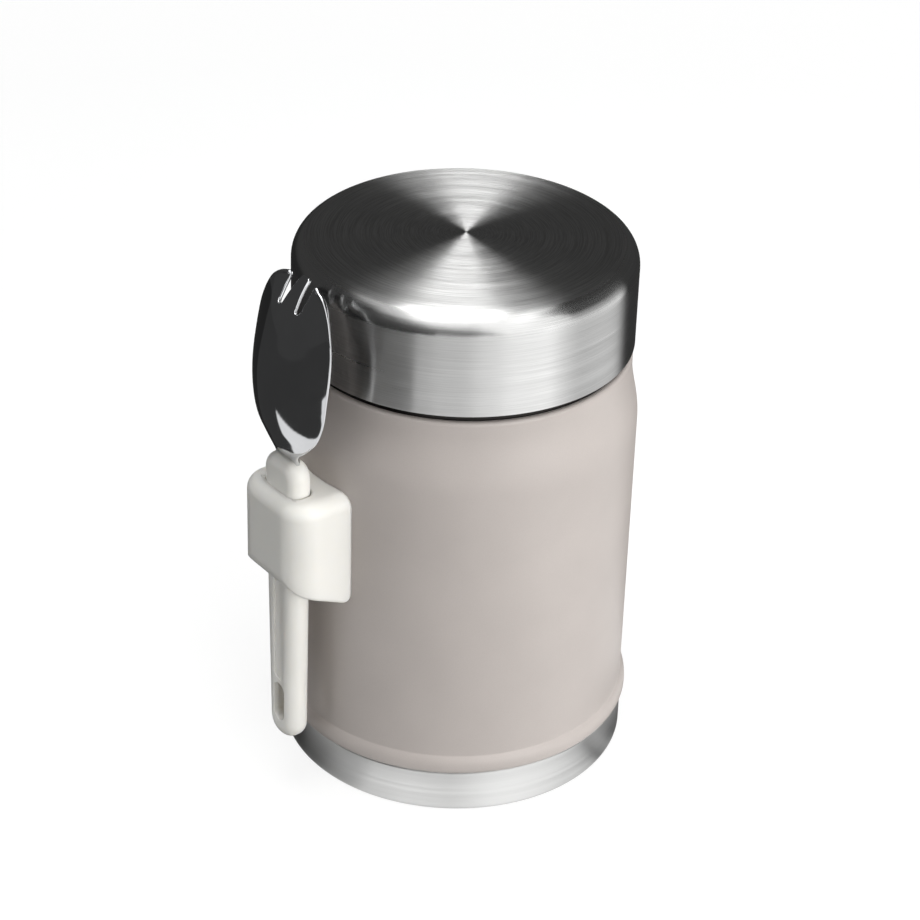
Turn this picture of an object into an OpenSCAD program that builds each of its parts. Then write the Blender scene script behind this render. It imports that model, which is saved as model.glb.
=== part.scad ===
// Vacuum insulated food jar with a screw lid and a spork stored upright in a side holder.
// Millimetres. +Z is up, the origin is on the jar's axis at the resting face,
// and the holder stands on the -X side.

/* [Outer shell] */
// Radius of the coated wall
body_r = 45; // [34:0.5:60]
// Height of the shell's top ledge above the resting face
body_h = 114.5; // [90:0.5:170]
// Thickness of the steel sheet of the outer shell
shell_wall = 0.6; // [0.5:0.1:1.2]
// How far the wall steps in at the shoulder
shoulder_in = 2.15; // [1:0.05:3]
// Height of the shoulder's curve
shoulder_h = 16; // [8:0.5:24]
// Straight height between the shoulder and the ledge
shoulder_flat = 3.5; // [2:0.5:8]
// Rounding of the shell's top edge
edge_r = 1; // [0.4:0.1:1.5]
// How far the bead at the foot stands proud of the wall
bead_out = 1.3; // [0.5:0.1:2]
// Height of the bead's crest above the shell's lower edge
bead_low = 2.25; // [1:0.05:4]
// Height over which the bead runs back into the wall
bead_blend = 8.5; // [5:0.5:14]

/* [Base] */
// Height of the bare steel band
band_h = 12; // [8:0.5:20]
// How far the bare band stands proud of the coated wall
band_out = 0.35; // [0.1:0.05:0.8]
// Thickness of the base cup's steel sheet
base_wall = 0.6; // [0.5:0.1:1.2]
// Rounding at the bottom edge
foot_edge_r = 1; // [0.8:0.1:2]
// Width of the ring that rests on the table
foot_w = 5; // [3:0.5:8]
// Depth of the recess under the base
base_rise = 2.5; // [1.5:0.1:3.5]
// Height of the cup's collar inside the shell
spigot_h = 8; // [4:0.5:12]
// Thickness of the cover disc under the base
disc_t = 0.6; // [0.4:0.1:1]
// Radius of the evacuation hole
vent_r = 1.2; // [0.8:0.1:2]

/* [Inner flask] */
// Width of the vacuum between the two walls
vacuum_gap = 4; // [2.5:0.25:6]
// Thickness of the inner steel sheet
flask_wall = 0.5; // [0.4:0.1:1]
// Height of the food chamber's floor
floor_z = 10; // [9:0.5:16]
// Radius between the chamber's floor and its wall
floor_r = 6; // [3:0.5:10]
// Height of the drawn base dish, up to its weld
dish_h = 20; // [17:0.5:26]
// How far the flask narrows at the mouth
mouth_in = 2.6; // [1.5:0.1:4]
// Height of the rim above the shell's ledge
rim_h = 16.5; // [12:0.5:22]
// Height of the curve under the mouth
neck_curve_h = 14; // [8:0.5:20]
// Thickness of the copper foil
foil_t = 0.2; // [0.1:0.05:0.4]
// Radius of the getter tablet
getter_r = 4.7; // [3:0.1:7]
// Thickness of the getter tablet
getter_t = 2.3; // [1.5:0.1:3]
// Distance of the getter from the jar's axis
getter_x = 18; // [10:1:26]

/* [Neck] */
// Width of the ledge between the shell's edge and the neck's collar
ledge_w = 1.35; // [0.8:0.05:2.5]
// Height of the neck's collar
collar_h = 2.6; // [2:0.1:4]
// Gap between the neck and the flask inside it
neck_gap = 0.8; // [0.4:0.1:1.5]
// Thickness of the neck's steel sheet
neck_wall = 0.7; // [0.5:0.1:1.2]
// How far the thread stands out of the neck
thread_out = 0.85; // [0.5:0.05:1.2]
// Height of one thread turn's root
thread_w = 2.4; // [1.5:0.1:3.5]
// Rise of the thread in one whole turn
thread_lead = 12; // [6:0.5:16]
// Number of thread starts
thread_starts = 3; // [2:1:4]

/* [Lid] */
// How far the lid stands proud of the narrowed wall below it
lid_out = 0.35; // [0:0.05:1]
// Height of the lid
lid_h = 27.3; // [24:0.1:36]
// Gap between the ledge and the lid's lower edge
lid_gap = 2; // [1:0.1:3]
// Rounding of the lid's top edge
lid_edge_r = 6; // [3:0.5:8]
// Thickness of the lid's steel sheet
lid_wall = 0.5; // [0.4:0.1:1]
// Thickness of the plastic liner
liner_wall = 1.4; // [1:0.1:2]
// Depth of the plug that reaches into the mouth
plug_h = 9; // [5:0.5:12]
// Gap between the plug's cover and the mouth
plug_gap = 0.8; // [0.5:0.1:1.5]
// Thickness of the steel cover on the plug
cover_t = 0.5; // [0.3:0.1:0.8]
// Height of the cover's side
cover_h = 5.5; // [3:0.5:8]
// Thickness of the sealing ring
gasket_t = 2; // [1.5:0.1:3]

/* [Holder] */
// Height of the holder block's top face
block_top = 89.6; // [75:0.1:110]
// Height of the block where it meets the wall
block_h = 31.5; // [28:0.1:45]
// How far the block stands out of the wall
block_out = 15; // [14:0.1:22]
// Width of the block
block_w = 26; // [22:0.1:34]
// How far the underside climbs from the wall to the outer face
block_slope = 6.9; // [3:0.1:10]
// Rounding of the lower outer edge
block_low_r = 6.5; // [2:0.1:8]
// Rounding of the block's two upright outer edges
block_corner_r = 7; // [4:0.5:10]
// Rounding of the block's top edges
block_top_r = 3.2; // [1:0.1:5]
// Distance from the wall to the middle of the slot
slot_out = 8.2; // [7.5:0.1:10]
// Running gap round the handle in the slot
slot_gap = 0.25; // [0.15:0.05:0.5]
// Thickness of the steel plate welded to the wall
plate_t = 1.4; // [1:0.1:1.6]
// Width of that plate
plate_w = 15; // [10:0.5:18]
// Distance from the wall to the carrier's outer face
carrier_out = 3.2; // [2.8:0.1:3.6]
// Width of the carrier that the block snaps onto
carrier_w = 18; // [16:0.5:20]
// Height of the block's skin above and below the carrier
carrier_skin = 4; // [3:0.5:6]
// Radius of the screws' shank
screw_r = 1.25; // [1:0.05:1.5]
// Radius of the screws' countersunk head
screw_head_r = 2.3; // [2:0.1:3]
// Height between the two screws
screw_pitch = 13; // [9:0.5:16]

/* [Spork handle] */
// Width of the handle at its top
handle_w = 14.2; // [11:0.1:18]
// Width of the handle at its lower end
handle_low_w = 10.6; // [8:0.1:16]
// Thickness of the handle
handle_t = 6.5; // [5:0.1:8]
// Length of the handle
handle_len = 83.8; // [70:0.1:110]
// How far the handle stands above the block
handle_rise = 8.4; // [6:0.1:14]
// Rounding of the handle's long edges
handle_edge_r = 3; // [1:0.1:3.2]
// Rounding of the handle's two top corners
handle_top_r = 4.6; // [2:0.1:5]
// Width of the groove along the handle's outer face
groove_w = 3; // [2:0.1:5]
// Depth of that groove
groove_d = 0.7; // [0.3:0.1:1.2]
// Width of the hanging slot
eye_w = 4.6; // [3:0.1:6]
// Length of the hanging slot
eye_len = 11.4; // [8:0.1:16]
// Distance from the handle's lower end to the hanging slot
eye_up = 5.4; // [3:0.1:8]

/* [Spork head] */
// Thickness of the steel sheet
head_t = 1.1; // [0.8:0.1:1.5]
// Width of the neck above the handle
head_neck_w = 9.4; // [7:0.1:12]
// Widest part of the head
head_w = 31.2; // [24:0.1:38]
// Length of the head above the handle
head_len = 47.5; // [40:0.5:60]
// Width of the tang inside the handle
tang_w = 7; // [5:0.1:8]
// Length of the tang inside the handle
tang_len = 52; // [30:0.5:60]
// Radius of the pins through the tang
pin_r = 1; // [0.8:0.1:1.4]

/* [Hidden] */

$fn = 96;
fit_gap = 0.1;          // between round pieces that are assembled tight
weld_gap = 0.05;        // between curved faces that are welded
neck_fit = 0.25;        // round the spork's neck at the handle's mouth
thread_gap = 0.3;       // between the crests of the two threads
thread_flank = 0.5;     // slope of the thread's flanks
thread_break = 34;      // angle left free between two starts
lift_gap = 0.5;         // between the liner's lower edge and the neck's collar
cut_edge = 0.2;         // bevel on the sheet's cut edges
base_bend = 0.6;        // inside bend of the base cup
base_fold = 1.2;        // height of the step from the band to the cup's collar
collar_wall = 1.2;      // width of the neck's collar where it stands on the ledge
collar_lap = 1;         // how far the ledge reaches under the collar
seal_h = 0.9;           // the bead of solder that closes the evacuation hole
seal_low_r = 2.6;
seal_top_r = 1.6;
lip_r = flask_wall / 2; // rounding of the flask's turned edge
rim_r = 0.5;            // rounding of the mouth
foil_gap = [2, 1];      // bare height of the flask below and above the foil
clip_t = 0.4;           // sheet of the getter's clip, and how far it stands above the tablet
clip_rim = 0.6;
liner_rim = 2;          // how far the liner's rim stands above its web
cover_bend = 1.2;       // bend between the lid cover's face and its side
snap_gap = 0.02;        // between the plug and the cover snapped over it
gasket_gap = 0.4;       // round the sealing ring, and its bevel
plate_in = 1;           // how far the welded plate ends short of the carrier
shank_gap = 0.3;        // between the screws' ends and the wall
screw_head_h = 1.05;    // height of the screws' countersunk head
screw_slot = 0.6;       // width and depth of the slot in the screws' heads
groove_up = 1.2;        // between the hanging slot and the groove
groove_end = 4;         // between the groove's end and the block's top
pin_in = 5;             // from the tang's ends to the pins
pin_past = 1.8;         // how far the pins reach past the tang's middle
mouth_deep = 2;         // depth at which the handle grips the spork's neck
head_lap = 1;           // how far the head's sheet runs into the handle
hair = 0.01;            // keeps a shape's straight side from vanishing
arc_steps = 6;          // steps in a quarter of a rounded edge
curve_steps = 14;       // steps in a long blended curve
big = 400;              // longer than the whole object

// Radii that follow from one another, from the outside in
shell_in_r = body_r - shell_wall;
narrow_r = body_r - shoulder_in;
collar_r = narrow_r - ledge_w;
band_r = body_r + band_out;
spigot_r = shell_in_r - fit_gap;
flask_r = shell_in_r - vacuum_gap;
chamber_r = flask_r - flask_wall;
mouth_r = chamber_r - mouth_in;
neck_in_r = mouth_r + flask_wall + neck_gap;
neck_r = neck_in_r + neck_wall;
crest_r = neck_r + thread_out;
lid_r = narrow_r + lid_out;
liner_r = lid_r - lid_wall - fit_gap;
skirt_r = liner_r - liner_wall;
cover_r = mouth_r - plug_gap;
plug_r = cover_r - cover_t;
recess_r = band_r - foot_edge_r - foot_w;
recess_slope = base_rise * 0.7;

// Heights
shoulder_top = body_h - shoulder_flat;
shoulder_low = shoulder_top - shoulder_h;
bead_z = band_h + bead_low;
rim_z = body_h + rim_h;
lid_z = body_h + lid_gap;
lid_top = lid_z + lid_h;
web_z = rim_z + gasket_t;
plug_z = web_z - plug_h;
plate_z = base_rise + base_wall;
collar_z = body_h + collar_h;
thread_z = (collar_z + rim_z) / 2 + thread_gap;
neck_curve_top = body_h - lid_gap;
neck_curve_low = neck_curve_top - neck_curve_h;

// Holder and spork, measured outwards from the jar's axis
slot_u = body_r + slot_out;
block_u = body_r + block_out;
block_low = block_top - block_h;
carrier_u = body_r + carrier_out;
carrier_low = block_low + carrier_skin;
carrier_top = block_top - carrier_skin;
carrier_h = carrier_top - carrier_low;
screw_mid = (carrier_low + carrier_top) / 2;
handle_top = block_top + handle_rise;
handle_low = handle_top - handle_len;
handle_half = handle_w / 2;
low_half = handle_low_w / 2;
taper = atan((handle_half - low_half) / handle_len);
eye_z = handle_low + eye_up;
groove_low = eye_z + eye_len + groove_up;
groove_top = block_top - groove_end;
tang_low = handle_top - tang_len;
pin_heights = [tang_low + pin_in, handle_top - pin_in];

function quarter(cx, cz, r, from, to) =
    [for (i = [0:arc_steps]) let (a = from + (to - from) * i / arc_steps)
        [cx + r * cos(a), cz + r * sin(a)]];

// Smooth step from 0 to 1
function ease(x) = (1 - cos(180 * x)) / 2;

// Radius of the coated wall at a height: bead, straight wall, then shoulder
function bead_rise(z) = let (x = (bead_z - z) / bead_low) 0.5 + 0.5 * sqrt(1 - x * x);
function bead_fall(z) = let (x = (z - bead_z) / bead_blend) pow(1 - x, 3) * (1 + 3 * x);
function wall_at(z) =
    z < bead_z ? body_r + bead_out * bead_rise(z)
    : z < bead_z + bead_blend ? body_r + bead_out * bead_fall(z)
    : z < shoulder_low ? body_r
    : body_r - shoulder_in * ease((min(z, shoulder_top) - shoulder_low) / shoulder_h);
shell_heights = concat(
    [for (i = [0:arc_steps]) band_h + bead_low * sin(90 * i / arc_steps)],
    [for (i = [1:curve_steps]) bead_z + bead_blend * i / curve_steps],
    [for (i = [0:curve_steps]) shoulder_low + shoulder_h * i / curve_steps]);

// Heights and radii of the curve that narrows the flask to its mouth
function neck_at(wide, i) = [wide - mouth_in * ease(i / curve_steps),
    neck_curve_low + neck_curve_h * i / curve_steps];

// Turns a drawing with X outwards from the axis to the holder's side
module holder_side() {
    rotate([0, 0, 180]) children();
}

// Extrudes a drawing of sideways and height along the outward direction
module outwards(from, to) {
    translate([from, 0, 0]) rotate([90, 0, 90]) linear_extrude(to - from) children();
}

// Extrudes a drawing of outwards and height over a width centred on the middle plane
module across(width) {
    rotate([90, 0, 0]) linear_extrude(width, center = true) children();
}

module soft_rect(x0, x1, y0, y1, r) {
    translate([x0 + r, y0]) square([x1 - x0 - 2 * r, y1 - y0]);
    translate([x0, y0 + r]) square([x1 - x0, y1 - y0 - 2 * r]);
    for (x = [x0 + r, x1 - r], y = [y0 + r, y1 - r]) translate([x, y]) circle(r);
}

// ---- Jar ----

module outer_shell() {
    inner_edge = [collar_r - collar_lap, body_h];
    color("#b5b0a8") rotate_extrude() polygon(concat(
        [for (z = shell_heights) [wall_at(z), z]],
        quarter(narrow_r - edge_r, body_h - edge_r, edge_r, 0, 90),
        [inner_edge, [inner_edge[0], body_h - shell_wall],
            [narrow_r - shell_wall, body_h - shell_wall]],
        [for (i = [len(shell_heights) - 1:-1:0]) let (z = shell_heights[i])
            [wall_at(z) - shell_wall, z]]));
}

// Thread ridges: short arcs, each tipped to the thread's rise
module thread_ridges(wall_r, tip_r, mid_z, bite) {
    root_r = tip_r > wall_r ? wall_r - bite : wall_r + bite;
    wide = thread_w / 2;
    tip_w = wide - thread_flank * abs(tip_r - root_r);
    span = 360 / thread_starts - thread_break;
    pitch_angle = atan(thread_lead / (2 * PI * wall_r));
    for (k = [0:thread_starts - 1]) rotate([0, 0, (k + 0.5) * 360 / thread_starts])
        translate([0, 0, mid_z]) rotate([pitch_angle, 0, 0]) rotate([0, 0, -span / 2])
            rotate_extrude(angle = span) polygon([[root_r, -wide], [tip_r, -tip_w],
                [tip_r, tip_w], [root_r, wide]]);
}

module neck_ring() {
    top = rim_z - flask_wall;
    inner = collar_r - collar_wall;
    color("#c3c4c6") union() {
        rotate_extrude() polygon(concat(
            [[inner, body_h], [collar_r, body_h]],
            quarter(collar_r - edge_r, collar_z - edge_r, edge_r, 0, 90),
            [[neck_r, collar_z], [neck_r, top], [neck_in_r, top],
                [neck_in_r, collar_z - neck_wall], [inner, collar_z - neck_wall]]));
        thread_ridges(neck_r, crest_r, thread_z, neck_wall / 2);
    }
}

module base_cup() {
    inner_r = band_r - base_wall;
    collar_in_r = spigot_r - base_wall;
    sheet = base_wall / 2;
    color("#c8c9cb") rotate_extrude() polygon(concat(
        [[spigot_r, band_h + spigot_h], [spigot_r, band_h], [band_r - cut_edge, band_h],
            [band_r, band_h - cut_edge]],
        quarter(band_r - foot_edge_r, foot_edge_r, foot_edge_r, 0, -90),
        [[recess_r, 0], [recess_r - recess_slope, base_rise], [vent_r, base_rise],
            [vent_r, plate_z], [recess_r - recess_slope - sheet, plate_z],
            [recess_r - sheet, base_wall], [inner_r - base_bend, base_wall],
            [inner_r, base_wall + base_bend], [inner_r, band_h - base_fold],
            [collar_in_r, band_h], [collar_in_r, band_h + spigot_h]]));
}

module base_disc() {
    color("#bfc0c2") translate([0, 0, base_rise - disc_t])
        cylinder(h = disc_t, r = recess_r - recess_slope - fit_gap);
}

module vacuum_seal() {
    color("#9aa0a6") union() {
        translate([0, 0, base_rise]) cylinder(h = base_wall, r = vent_r - fit_gap);
        translate([0, 0, plate_z]) cylinder(h = seal_h, r1 = seal_low_r, r2 = seal_top_r);
    }
}

module inner_flask() {
    color("#d0d1d3") rotate_extrude() polygon(concat(
        [[flask_r, dish_h]],
        [for (i = [0:curve_steps]) neck_at(flask_r, i)],
        [[mouth_r + flask_wall, rim_z - flask_wall]],
        quarter(neck_r - lip_r, rim_z - lip_r, lip_r, -90, 90),
        quarter(mouth_r + rim_r, rim_z - rim_r, rim_r, 90, 180),
        [for (i = [curve_steps:-1:0]) neck_at(chamber_r, i)],
        [[chamber_r, dish_h]]));
}

module flask_dish() {
    corner_r = floor_r + flask_wall;
    color("#cbccce") rotate_extrude() polygon(concat(
        [[flask_r, dish_h]],
        quarter(flask_r - corner_r, floor_z - flask_wall + corner_r, corner_r, 0, -90),
        [[0, floor_z - flask_wall], [0, floor_z]],
        quarter(chamber_r - floor_r, floor_z + floor_r, floor_r, -90, 0),
        [[chamber_r, dish_h]]));
}

module foil_wrap() {
    inside = flask_r + fit_gap;
    low = dish_h + foil_gap[0];
    color("#c07a4a") translate([0, 0, low]) difference() {
        cylinder(h = neck_curve_low - foil_gap[1] - low, r = inside + foil_t);
        translate([0, 0, -1]) cylinder(h = big, r = inside);
    }
}

module getter_clip() {
    color("#b9bbbe") translate([getter_x, 0, plate_z]) difference() {
        cylinder(h = clip_t + getter_t + clip_rim, r = getter_r + fit_gap + clip_t);
        translate([0, 0, clip_t]) cylinder(h = big, r = getter_r + fit_gap);
    }
}

module getter() {
    color("#4f4a48") translate([getter_x, 0, plate_z + clip_t]) cylinder(h = getter_t, r = getter_r);
}

// ---- Lid ----

module lid_shell() {
    corner_z = lid_top - lid_edge_r;
    in_r = lid_r - lid_wall;
    color("#c9cacc") rotate_extrude() polygon(concat(
        [[in_r, lid_z + cut_edge], [in_r + cut_edge, lid_z],
            [lid_r - cut_edge, lid_z], [lid_r, lid_z + cut_edge]],
        quarter(lid_r - lid_edge_r, corner_z, lid_edge_r, 0, 90),
        [[0, lid_top], [0, lid_top - lid_wall]],
        quarter(lid_r - lid_edge_r, corner_z, lid_edge_r - lid_wall, 90, 0)));
}

module lid_liner() {
    low = collar_z + lift_gap;
    top = web_z + liner_wall + liner_rim;
    cup_r = plug_r - liner_wall;
    color("#e9e7e1") union() {
        rotate_extrude() polygon([[liner_r, low], [liner_r, top], [skirt_r, top],
            [skirt_r, web_z + liner_wall], [cup_r, web_z + liner_wall],
            [cup_r, plug_z + liner_wall], [0, plug_z + liner_wall], [0, plug_z],
            [plug_r, plug_z], [plug_r, web_z], [skirt_r, web_z], [skirt_r, low]]);
        thread_ridges(skirt_r, crest_r + thread_gap, thread_z, liner_wall / 2);
    }
}

module lid_foam() {
    corner_z = lid_top - lid_edge_r;
    round_r = lid_edge_r - lid_wall - fit_gap;
    side_r = skirt_r - fit_gap;
    start = acos((side_r - lid_r + lid_edge_r) / round_r);
    color("#f3e7b8") rotate_extrude() polygon(concat(
        [[0, plug_z + liner_wall], [plug_r - liner_wall - fit_gap, plug_z + liner_wall],
            [plug_r - liner_wall - fit_gap, web_z + liner_wall], [side_r, web_z + liner_wall]],
        quarter(lid_r - lid_edge_r, corner_z, round_r, start, 90),
        [[0, corner_z + round_r]]));
}

module lid_inner_cover() {
    low = plug_z - cover_t;
    in_r = plug_r + snap_gap;
    color("#cfd0d2") rotate_extrude() polygon(concat(
        [[cover_r, low + cover_h]],
        quarter(cover_r - cover_bend, low + cover_bend, cover_bend, 0, -90),
        [[0, low], [0, plug_z], [in_r, plug_z], [in_r, low + cover_h]]));
}

module lid_gasket() {
    in_r = plug_r + gasket_gap;
    out_r = skirt_r - gasket_gap;
    color("#8f9296") rotate_extrude() polygon([[in_r, rim_z + gasket_gap],
        [mouth_r + gasket_gap, rim_z], [neck_r - gasket_gap, rim_z],
        [out_r, rim_z + gasket_gap], [out_r, web_z], [in_r, web_z]]);
}

// ---- Holder ----

module holder_plate() {
    color("#b3b5b8") holder_side() difference() {
        intersection() {
            translate([0, 0, carrier_low + plate_in])
                cylinder(h = carrier_h - 2 * plate_in, r = body_r + weld_gap + plate_t);
            translate([0, -plate_w / 2, 0]) cube([big, plate_w, big]);
        }
        cylinder(h = big, r = body_r + weld_gap);
        for (s = [-1, 1]) translate([0, 0, screw_mid + s * screw_pitch / 2])
            rotate([0, 90, 0]) cylinder(h = big, r = screw_r + weld_gap);
    }
}

module holder_carrier() {
    color("#d9d4c6") holder_side() difference() {
        translate([body_r - carrier_out, -carrier_w / 2 + fit_gap, carrier_low + fit_gap])
            cube([2 * carrier_out, carrier_w - 2 * fit_gap, carrier_h - 2 * fit_gap]);
        cylinder(h = big, r = body_r + weld_gap);
        intersection() {
            translate([0, 0, carrier_low + plate_in - fit_gap])
                cylinder(h = carrier_h - 2 * plate_in + 2 * fit_gap,
                    r = body_r + plate_t + weld_gap + fit_gap);
            translate([0, -plate_w / 2 - fit_gap, 0]) cube([big, plate_w + 2 * fit_gap, big]);
        }
        for (s = [-1, 1]) translate([0, 0, screw_mid + s * screw_pitch / 2]) {
            rotate([0, 90, 0]) cylinder(h = big, r = screw_r + weld_gap);
            translate([carrier_u - screw_head_h, 0, 0]) rotate([0, 90, 0])
                cylinder(h = screw_head_h + hair, r1 = screw_r + weld_gap,
                    r2 = screw_head_r + 2 * weld_gap);
        }
    }
}

module holder_screws() {
    color("#a2a5a9") holder_side()
        for (s = [-1, 1]) translate([0, 0, screw_mid + s * screw_pitch / 2]) difference() {
            union() {
                translate([body_r + shank_gap, 0, 0]) rotate([0, 90, 0])
                    cylinder(h = carrier_out - shank_gap - fit_gap, r = screw_r);
                translate([carrier_u - screw_head_h, 0, 0]) rotate([0, 90, 0])
                    cylinder(h = screw_head_h, r1 = screw_r, r2 = screw_head_r);
            }
            translate([carrier_u - screw_slot, -screw_slot / 2, -screw_head_r])
                cube([screw_head_h, screw_slot, 2 * screw_head_r]);
        }
}

// A bar whose two narrow sides lean in towards its lower end, with rounded long edges.
// grow is added all round.
module tapered_bar(grow) {
    past = 10;
    wide = handle_half + handle_edge_r;
    for (s = [-1, 1]) translate([slot_u, s * low_half, handle_low]) rotate([-s * taper, 0, 0])
        translate([0, 0, -past]) linear_extrude(handle_len + 3 * past)
            soft_rect(-handle_t / 2 - grow, handle_t / 2 + grow,
                s > 0 ? -wide : -grow, s > 0 ? grow : wide, handle_edge_r + grow / 2);
}

// Front outline of the handle: round lower end, tapered sides, rounded top corners
module handle_outline() {
    top_z = handle_top - handle_top_r;
    top_y = handle_half - handle_top_r;
    translate([0, handle_low + low_half]) circle(low_half);
    polygon([[-low_half, handle_low + low_half], [low_half, handle_low + low_half],
        [handle_half, top_z], [-handle_half, top_z]]);
    translate([-top_y, top_z]) square([2 * top_y, handle_top_r]);
    for (s = [-1, 1]) translate([s * top_y, top_z]) circle(handle_top_r);
}

module holder_block() {
    climb = block_slope / block_out;
    deep = 8;
    low_u = block_u - block_low_r;
    low_z = block_low + climb * (low_u - body_r) + block_low_r * sqrt(1 + climb * climb);
    color("#f1eee6") holder_side() difference() {
        intersection() {
            linear_extrude(block_top)
                soft_rect(body_r - deep - block_corner_r, block_u, -block_w / 2, block_w / 2,
                    block_corner_r);
            across(block_w) polygon(concat(
                [[body_r - deep, block_low - deep * climb]],
                quarter(low_u, low_z, block_low_r, atan(climb) - 90, 0),
                quarter(block_u - block_top_r, block_top - block_top_r, block_top_r, 0, 90),
                [[body_r - deep, block_top]]));
            outwards(0, block_u) soft_rect(-block_w / 2, block_w / 2, block_low - block_top_r / 2,
                block_top, block_top_r);
        }
        cylinder(h = big, r = body_r + weld_gap);
        translate([0, -carrier_w / 2, carrier_low])
            cube([carrier_u + fit_gap, carrier_w, carrier_h]);
        tapered_bar(slot_gap);
    }
}

// ---- Spork ----

module spork_handle() {
    mid = slot_u;
    color("#f4f1e8") holder_side() difference() {
        intersection() {
            tapered_bar(0);
            outwards(mid - handle_t, mid + handle_t) handle_outline();
        }
        outwards(mid - handle_t, mid + handle_t)
            soft_rect(-eye_w / 2, eye_w / 2, eye_z, eye_z + eye_len, eye_w / 2 - hair);
        outwards(mid + handle_t / 2 - groove_d, mid + handle_t)
            soft_rect(-groove_w / 2, groove_w / 2, groove_low, groove_top, groove_w / 2 - hair);
        translate([mid - head_t / 2 - weld_gap, -tang_w / 2 - weld_gap, tang_low - weld_gap])
            cube([head_t + 2 * weld_gap, tang_w + 2 * weld_gap, tang_len + mouth_deep]);
        translate([mid - head_t / 2 - neck_fit, -head_neck_w / 2 - neck_fit, handle_top - mouth_deep])
            cube([head_t + 2 * neck_fit, head_neck_w + 2 * neck_fit, 2 * mouth_deep]);
        for (z = pin_heights) translate([mid - handle_t, 0, z]) rotate([0, 90, 0])
            cylinder(h = handle_t + pin_past + 2 * fit_gap, r = pin_r + weld_gap);
    }
}

module tang_pins() {
    color("#8d9094") holder_side() for (z = pin_heights)
        translate([slot_u - handle_t / 2 + fit_gap, 0, z]) rotate([0, 90, 0])
            cylinder(h = handle_t / 2 + pin_past, r = pin_r);
}

// Stations along the head: share of its length, then half width as a share of the widest,
// how far the back bulges out, and how far the rim lies behind it
tip_share = 0.34;       // half width of the head at its tips
root_share = 0.23;     // how far the slits' roots lie from the middle, both as shares
middle_share = 0.084;   // half width of the middle tine at its tip, as a share too
outer_tip = 0.3;        // width of the outer tines at their tips
slit_r = 0.9;           // radius of the slits' rounded roots
slit_from = 0.853;      // where the slits start along the head
stations = [[0, head_neck_w / head_w, 0, 0], [0.02, head_neck_w / head_w, 0, 0],
    [0.08, 0.39, 1.9, 1.3], [0.145, 0.62, 3.2, 2.9], [0.225, 0.83, 4.6, 4.7],
    [0.335, 0.95, 5.5, 6.2], [0.46, 0.99, 5.7, 6.9], [0.58, 1, 4.9, 6.8],
    [0.705, 0.97, 3, 5.6], [0.805, 0.9, 1, 4], [0.91, 0.76, -2.2, 1.4],
    [0.965, 0.6, -4.4, -0.4], [1, tip_share, -5.8, -1.6]];

// Cubic curve through the stations' values in one column
function row_at(x, i = 1) = i >= len(stations) - 2 || x < stations[i + 1][0] ? i : row_at(x, i + 1);
function slope_at(i, column) = i <= 0 || i >= len(stations) - 1 ? 0
    : (stations[i + 1][column] - stations[i - 1][column]) / (stations[i + 1][0] - stations[i - 1][0]);
function smooth(x, column) = let (
    i = x < stations[1][0] ? 0 : row_at(x),
    h = stations[i + 1][0] - stations[i][0],
    s = (x - stations[i][0]) / h)
    stations[i][column] * (1 + 2 * s) * pow(1 - s, 2) + stations[i + 1][column] * s * s * (3 - 2 * s)
    + h * slope_at(i, column) * s * pow(1 - s, 2) - h * slope_at(i + 1, column) * s * s * (1 - s);

// A point of the head: s runs from neck to tips, q from rim to rim
function head_point(s, q, inset) = [
    slot_u + head_t / 2 - inset + smooth(s, 2) - smooth(s, 3) * q * q,
    head_w / 2 * smooth(s, 1) * q,
    handle_top - head_lap + (head_len + head_lap) * s];

module head_sheet() {
    rows = 30;
    cols = 18;
    ring = 2 * (cols + 1);
    points = [for (i = [0:rows]) let (s = i / rows) each concat(
        [for (j = [0:cols]) head_point(s, 2 * j / cols - 1, 0)],
        [for (j = [cols:-1:0]) head_point(s, 2 * j / cols - 1, head_t)])];
    sides = [for (i = [0:rows - 1], j = [0:ring - 1]) let (
        a = i * ring + j, b = i * ring + (j + 1) % ring)
        each [[a, b + ring, b], [a, a + ring, b + ring]]];
    caps = [for (j = [0:cols - 1]) let (back = ring - 1 - j, top = rows * ring)
        each [[j, j + 1, back - 1], [j, back - 1, back],
            [top + j, top + back - 1, top + j + 1], [top + j, top + back, top + back - 1]]];
    polyhedron(points, concat(sides, caps));
}

// Slits between the tines: narrow at the root, open at the tips
module tine_slit(side) {
    half = head_w / 2;
    root_y = root_share * half;
    root_z = handle_top + head_len * slit_from + slit_r;
    top_z = handle_top + head_len + head_t;
    outwards(0, slot_u + 40) scale([side, 1]) {
        translate([root_y, root_z]) circle(slit_r);
        polygon([[root_y - slit_r, root_z], [root_y + slit_r, root_z],
            [tip_share * half - outer_tip, top_z], [middle_share * half, top_z]]);
    }
}

module spork_head() {
    color("#d6d8da") holder_side() difference() {
        union() {
            head_sheet();
            translate([slot_u - head_t / 2, -head_neck_w / 2, handle_top - 2 * head_lap])
                cube([head_t, head_neck_w, head_lap]);
            translate([slot_u - head_t / 2, -tang_w / 2, tang_low])
                cube([head_t, tang_w, tang_len - 1.5 * head_lap]);
        }
        tine_slit(-1);
        tine_slit(1);
        for (z = pin_heights) translate([0, 0, z]) rotate([0, 90, 0])
            cylinder(h = big, r = pin_r + weld_gap);
    }
}

outer_shell();
neck_ring();
base_cup();
base_disc();
vacuum_seal();
inner_flask();
flask_dish();
foil_wrap();
getter();
getter_clip();
holder_plate();
holder_carrier();
holder_screws();
holder_block();
lid_shell();
lid_liner();
lid_foam();
lid_inner_cover();
lid_gasket();
spork_head();
spork_handle();
tang_pins();
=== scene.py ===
"""Insulated food jar with a screw lid and a spork in a side holder: the visible surfaces and the studio."""

import math

import bmesh
import bpy
import numpy as np
from bpy.props import FloatProperty, PointerProperty, StringProperty
from mathutils import Matrix, Vector


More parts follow.
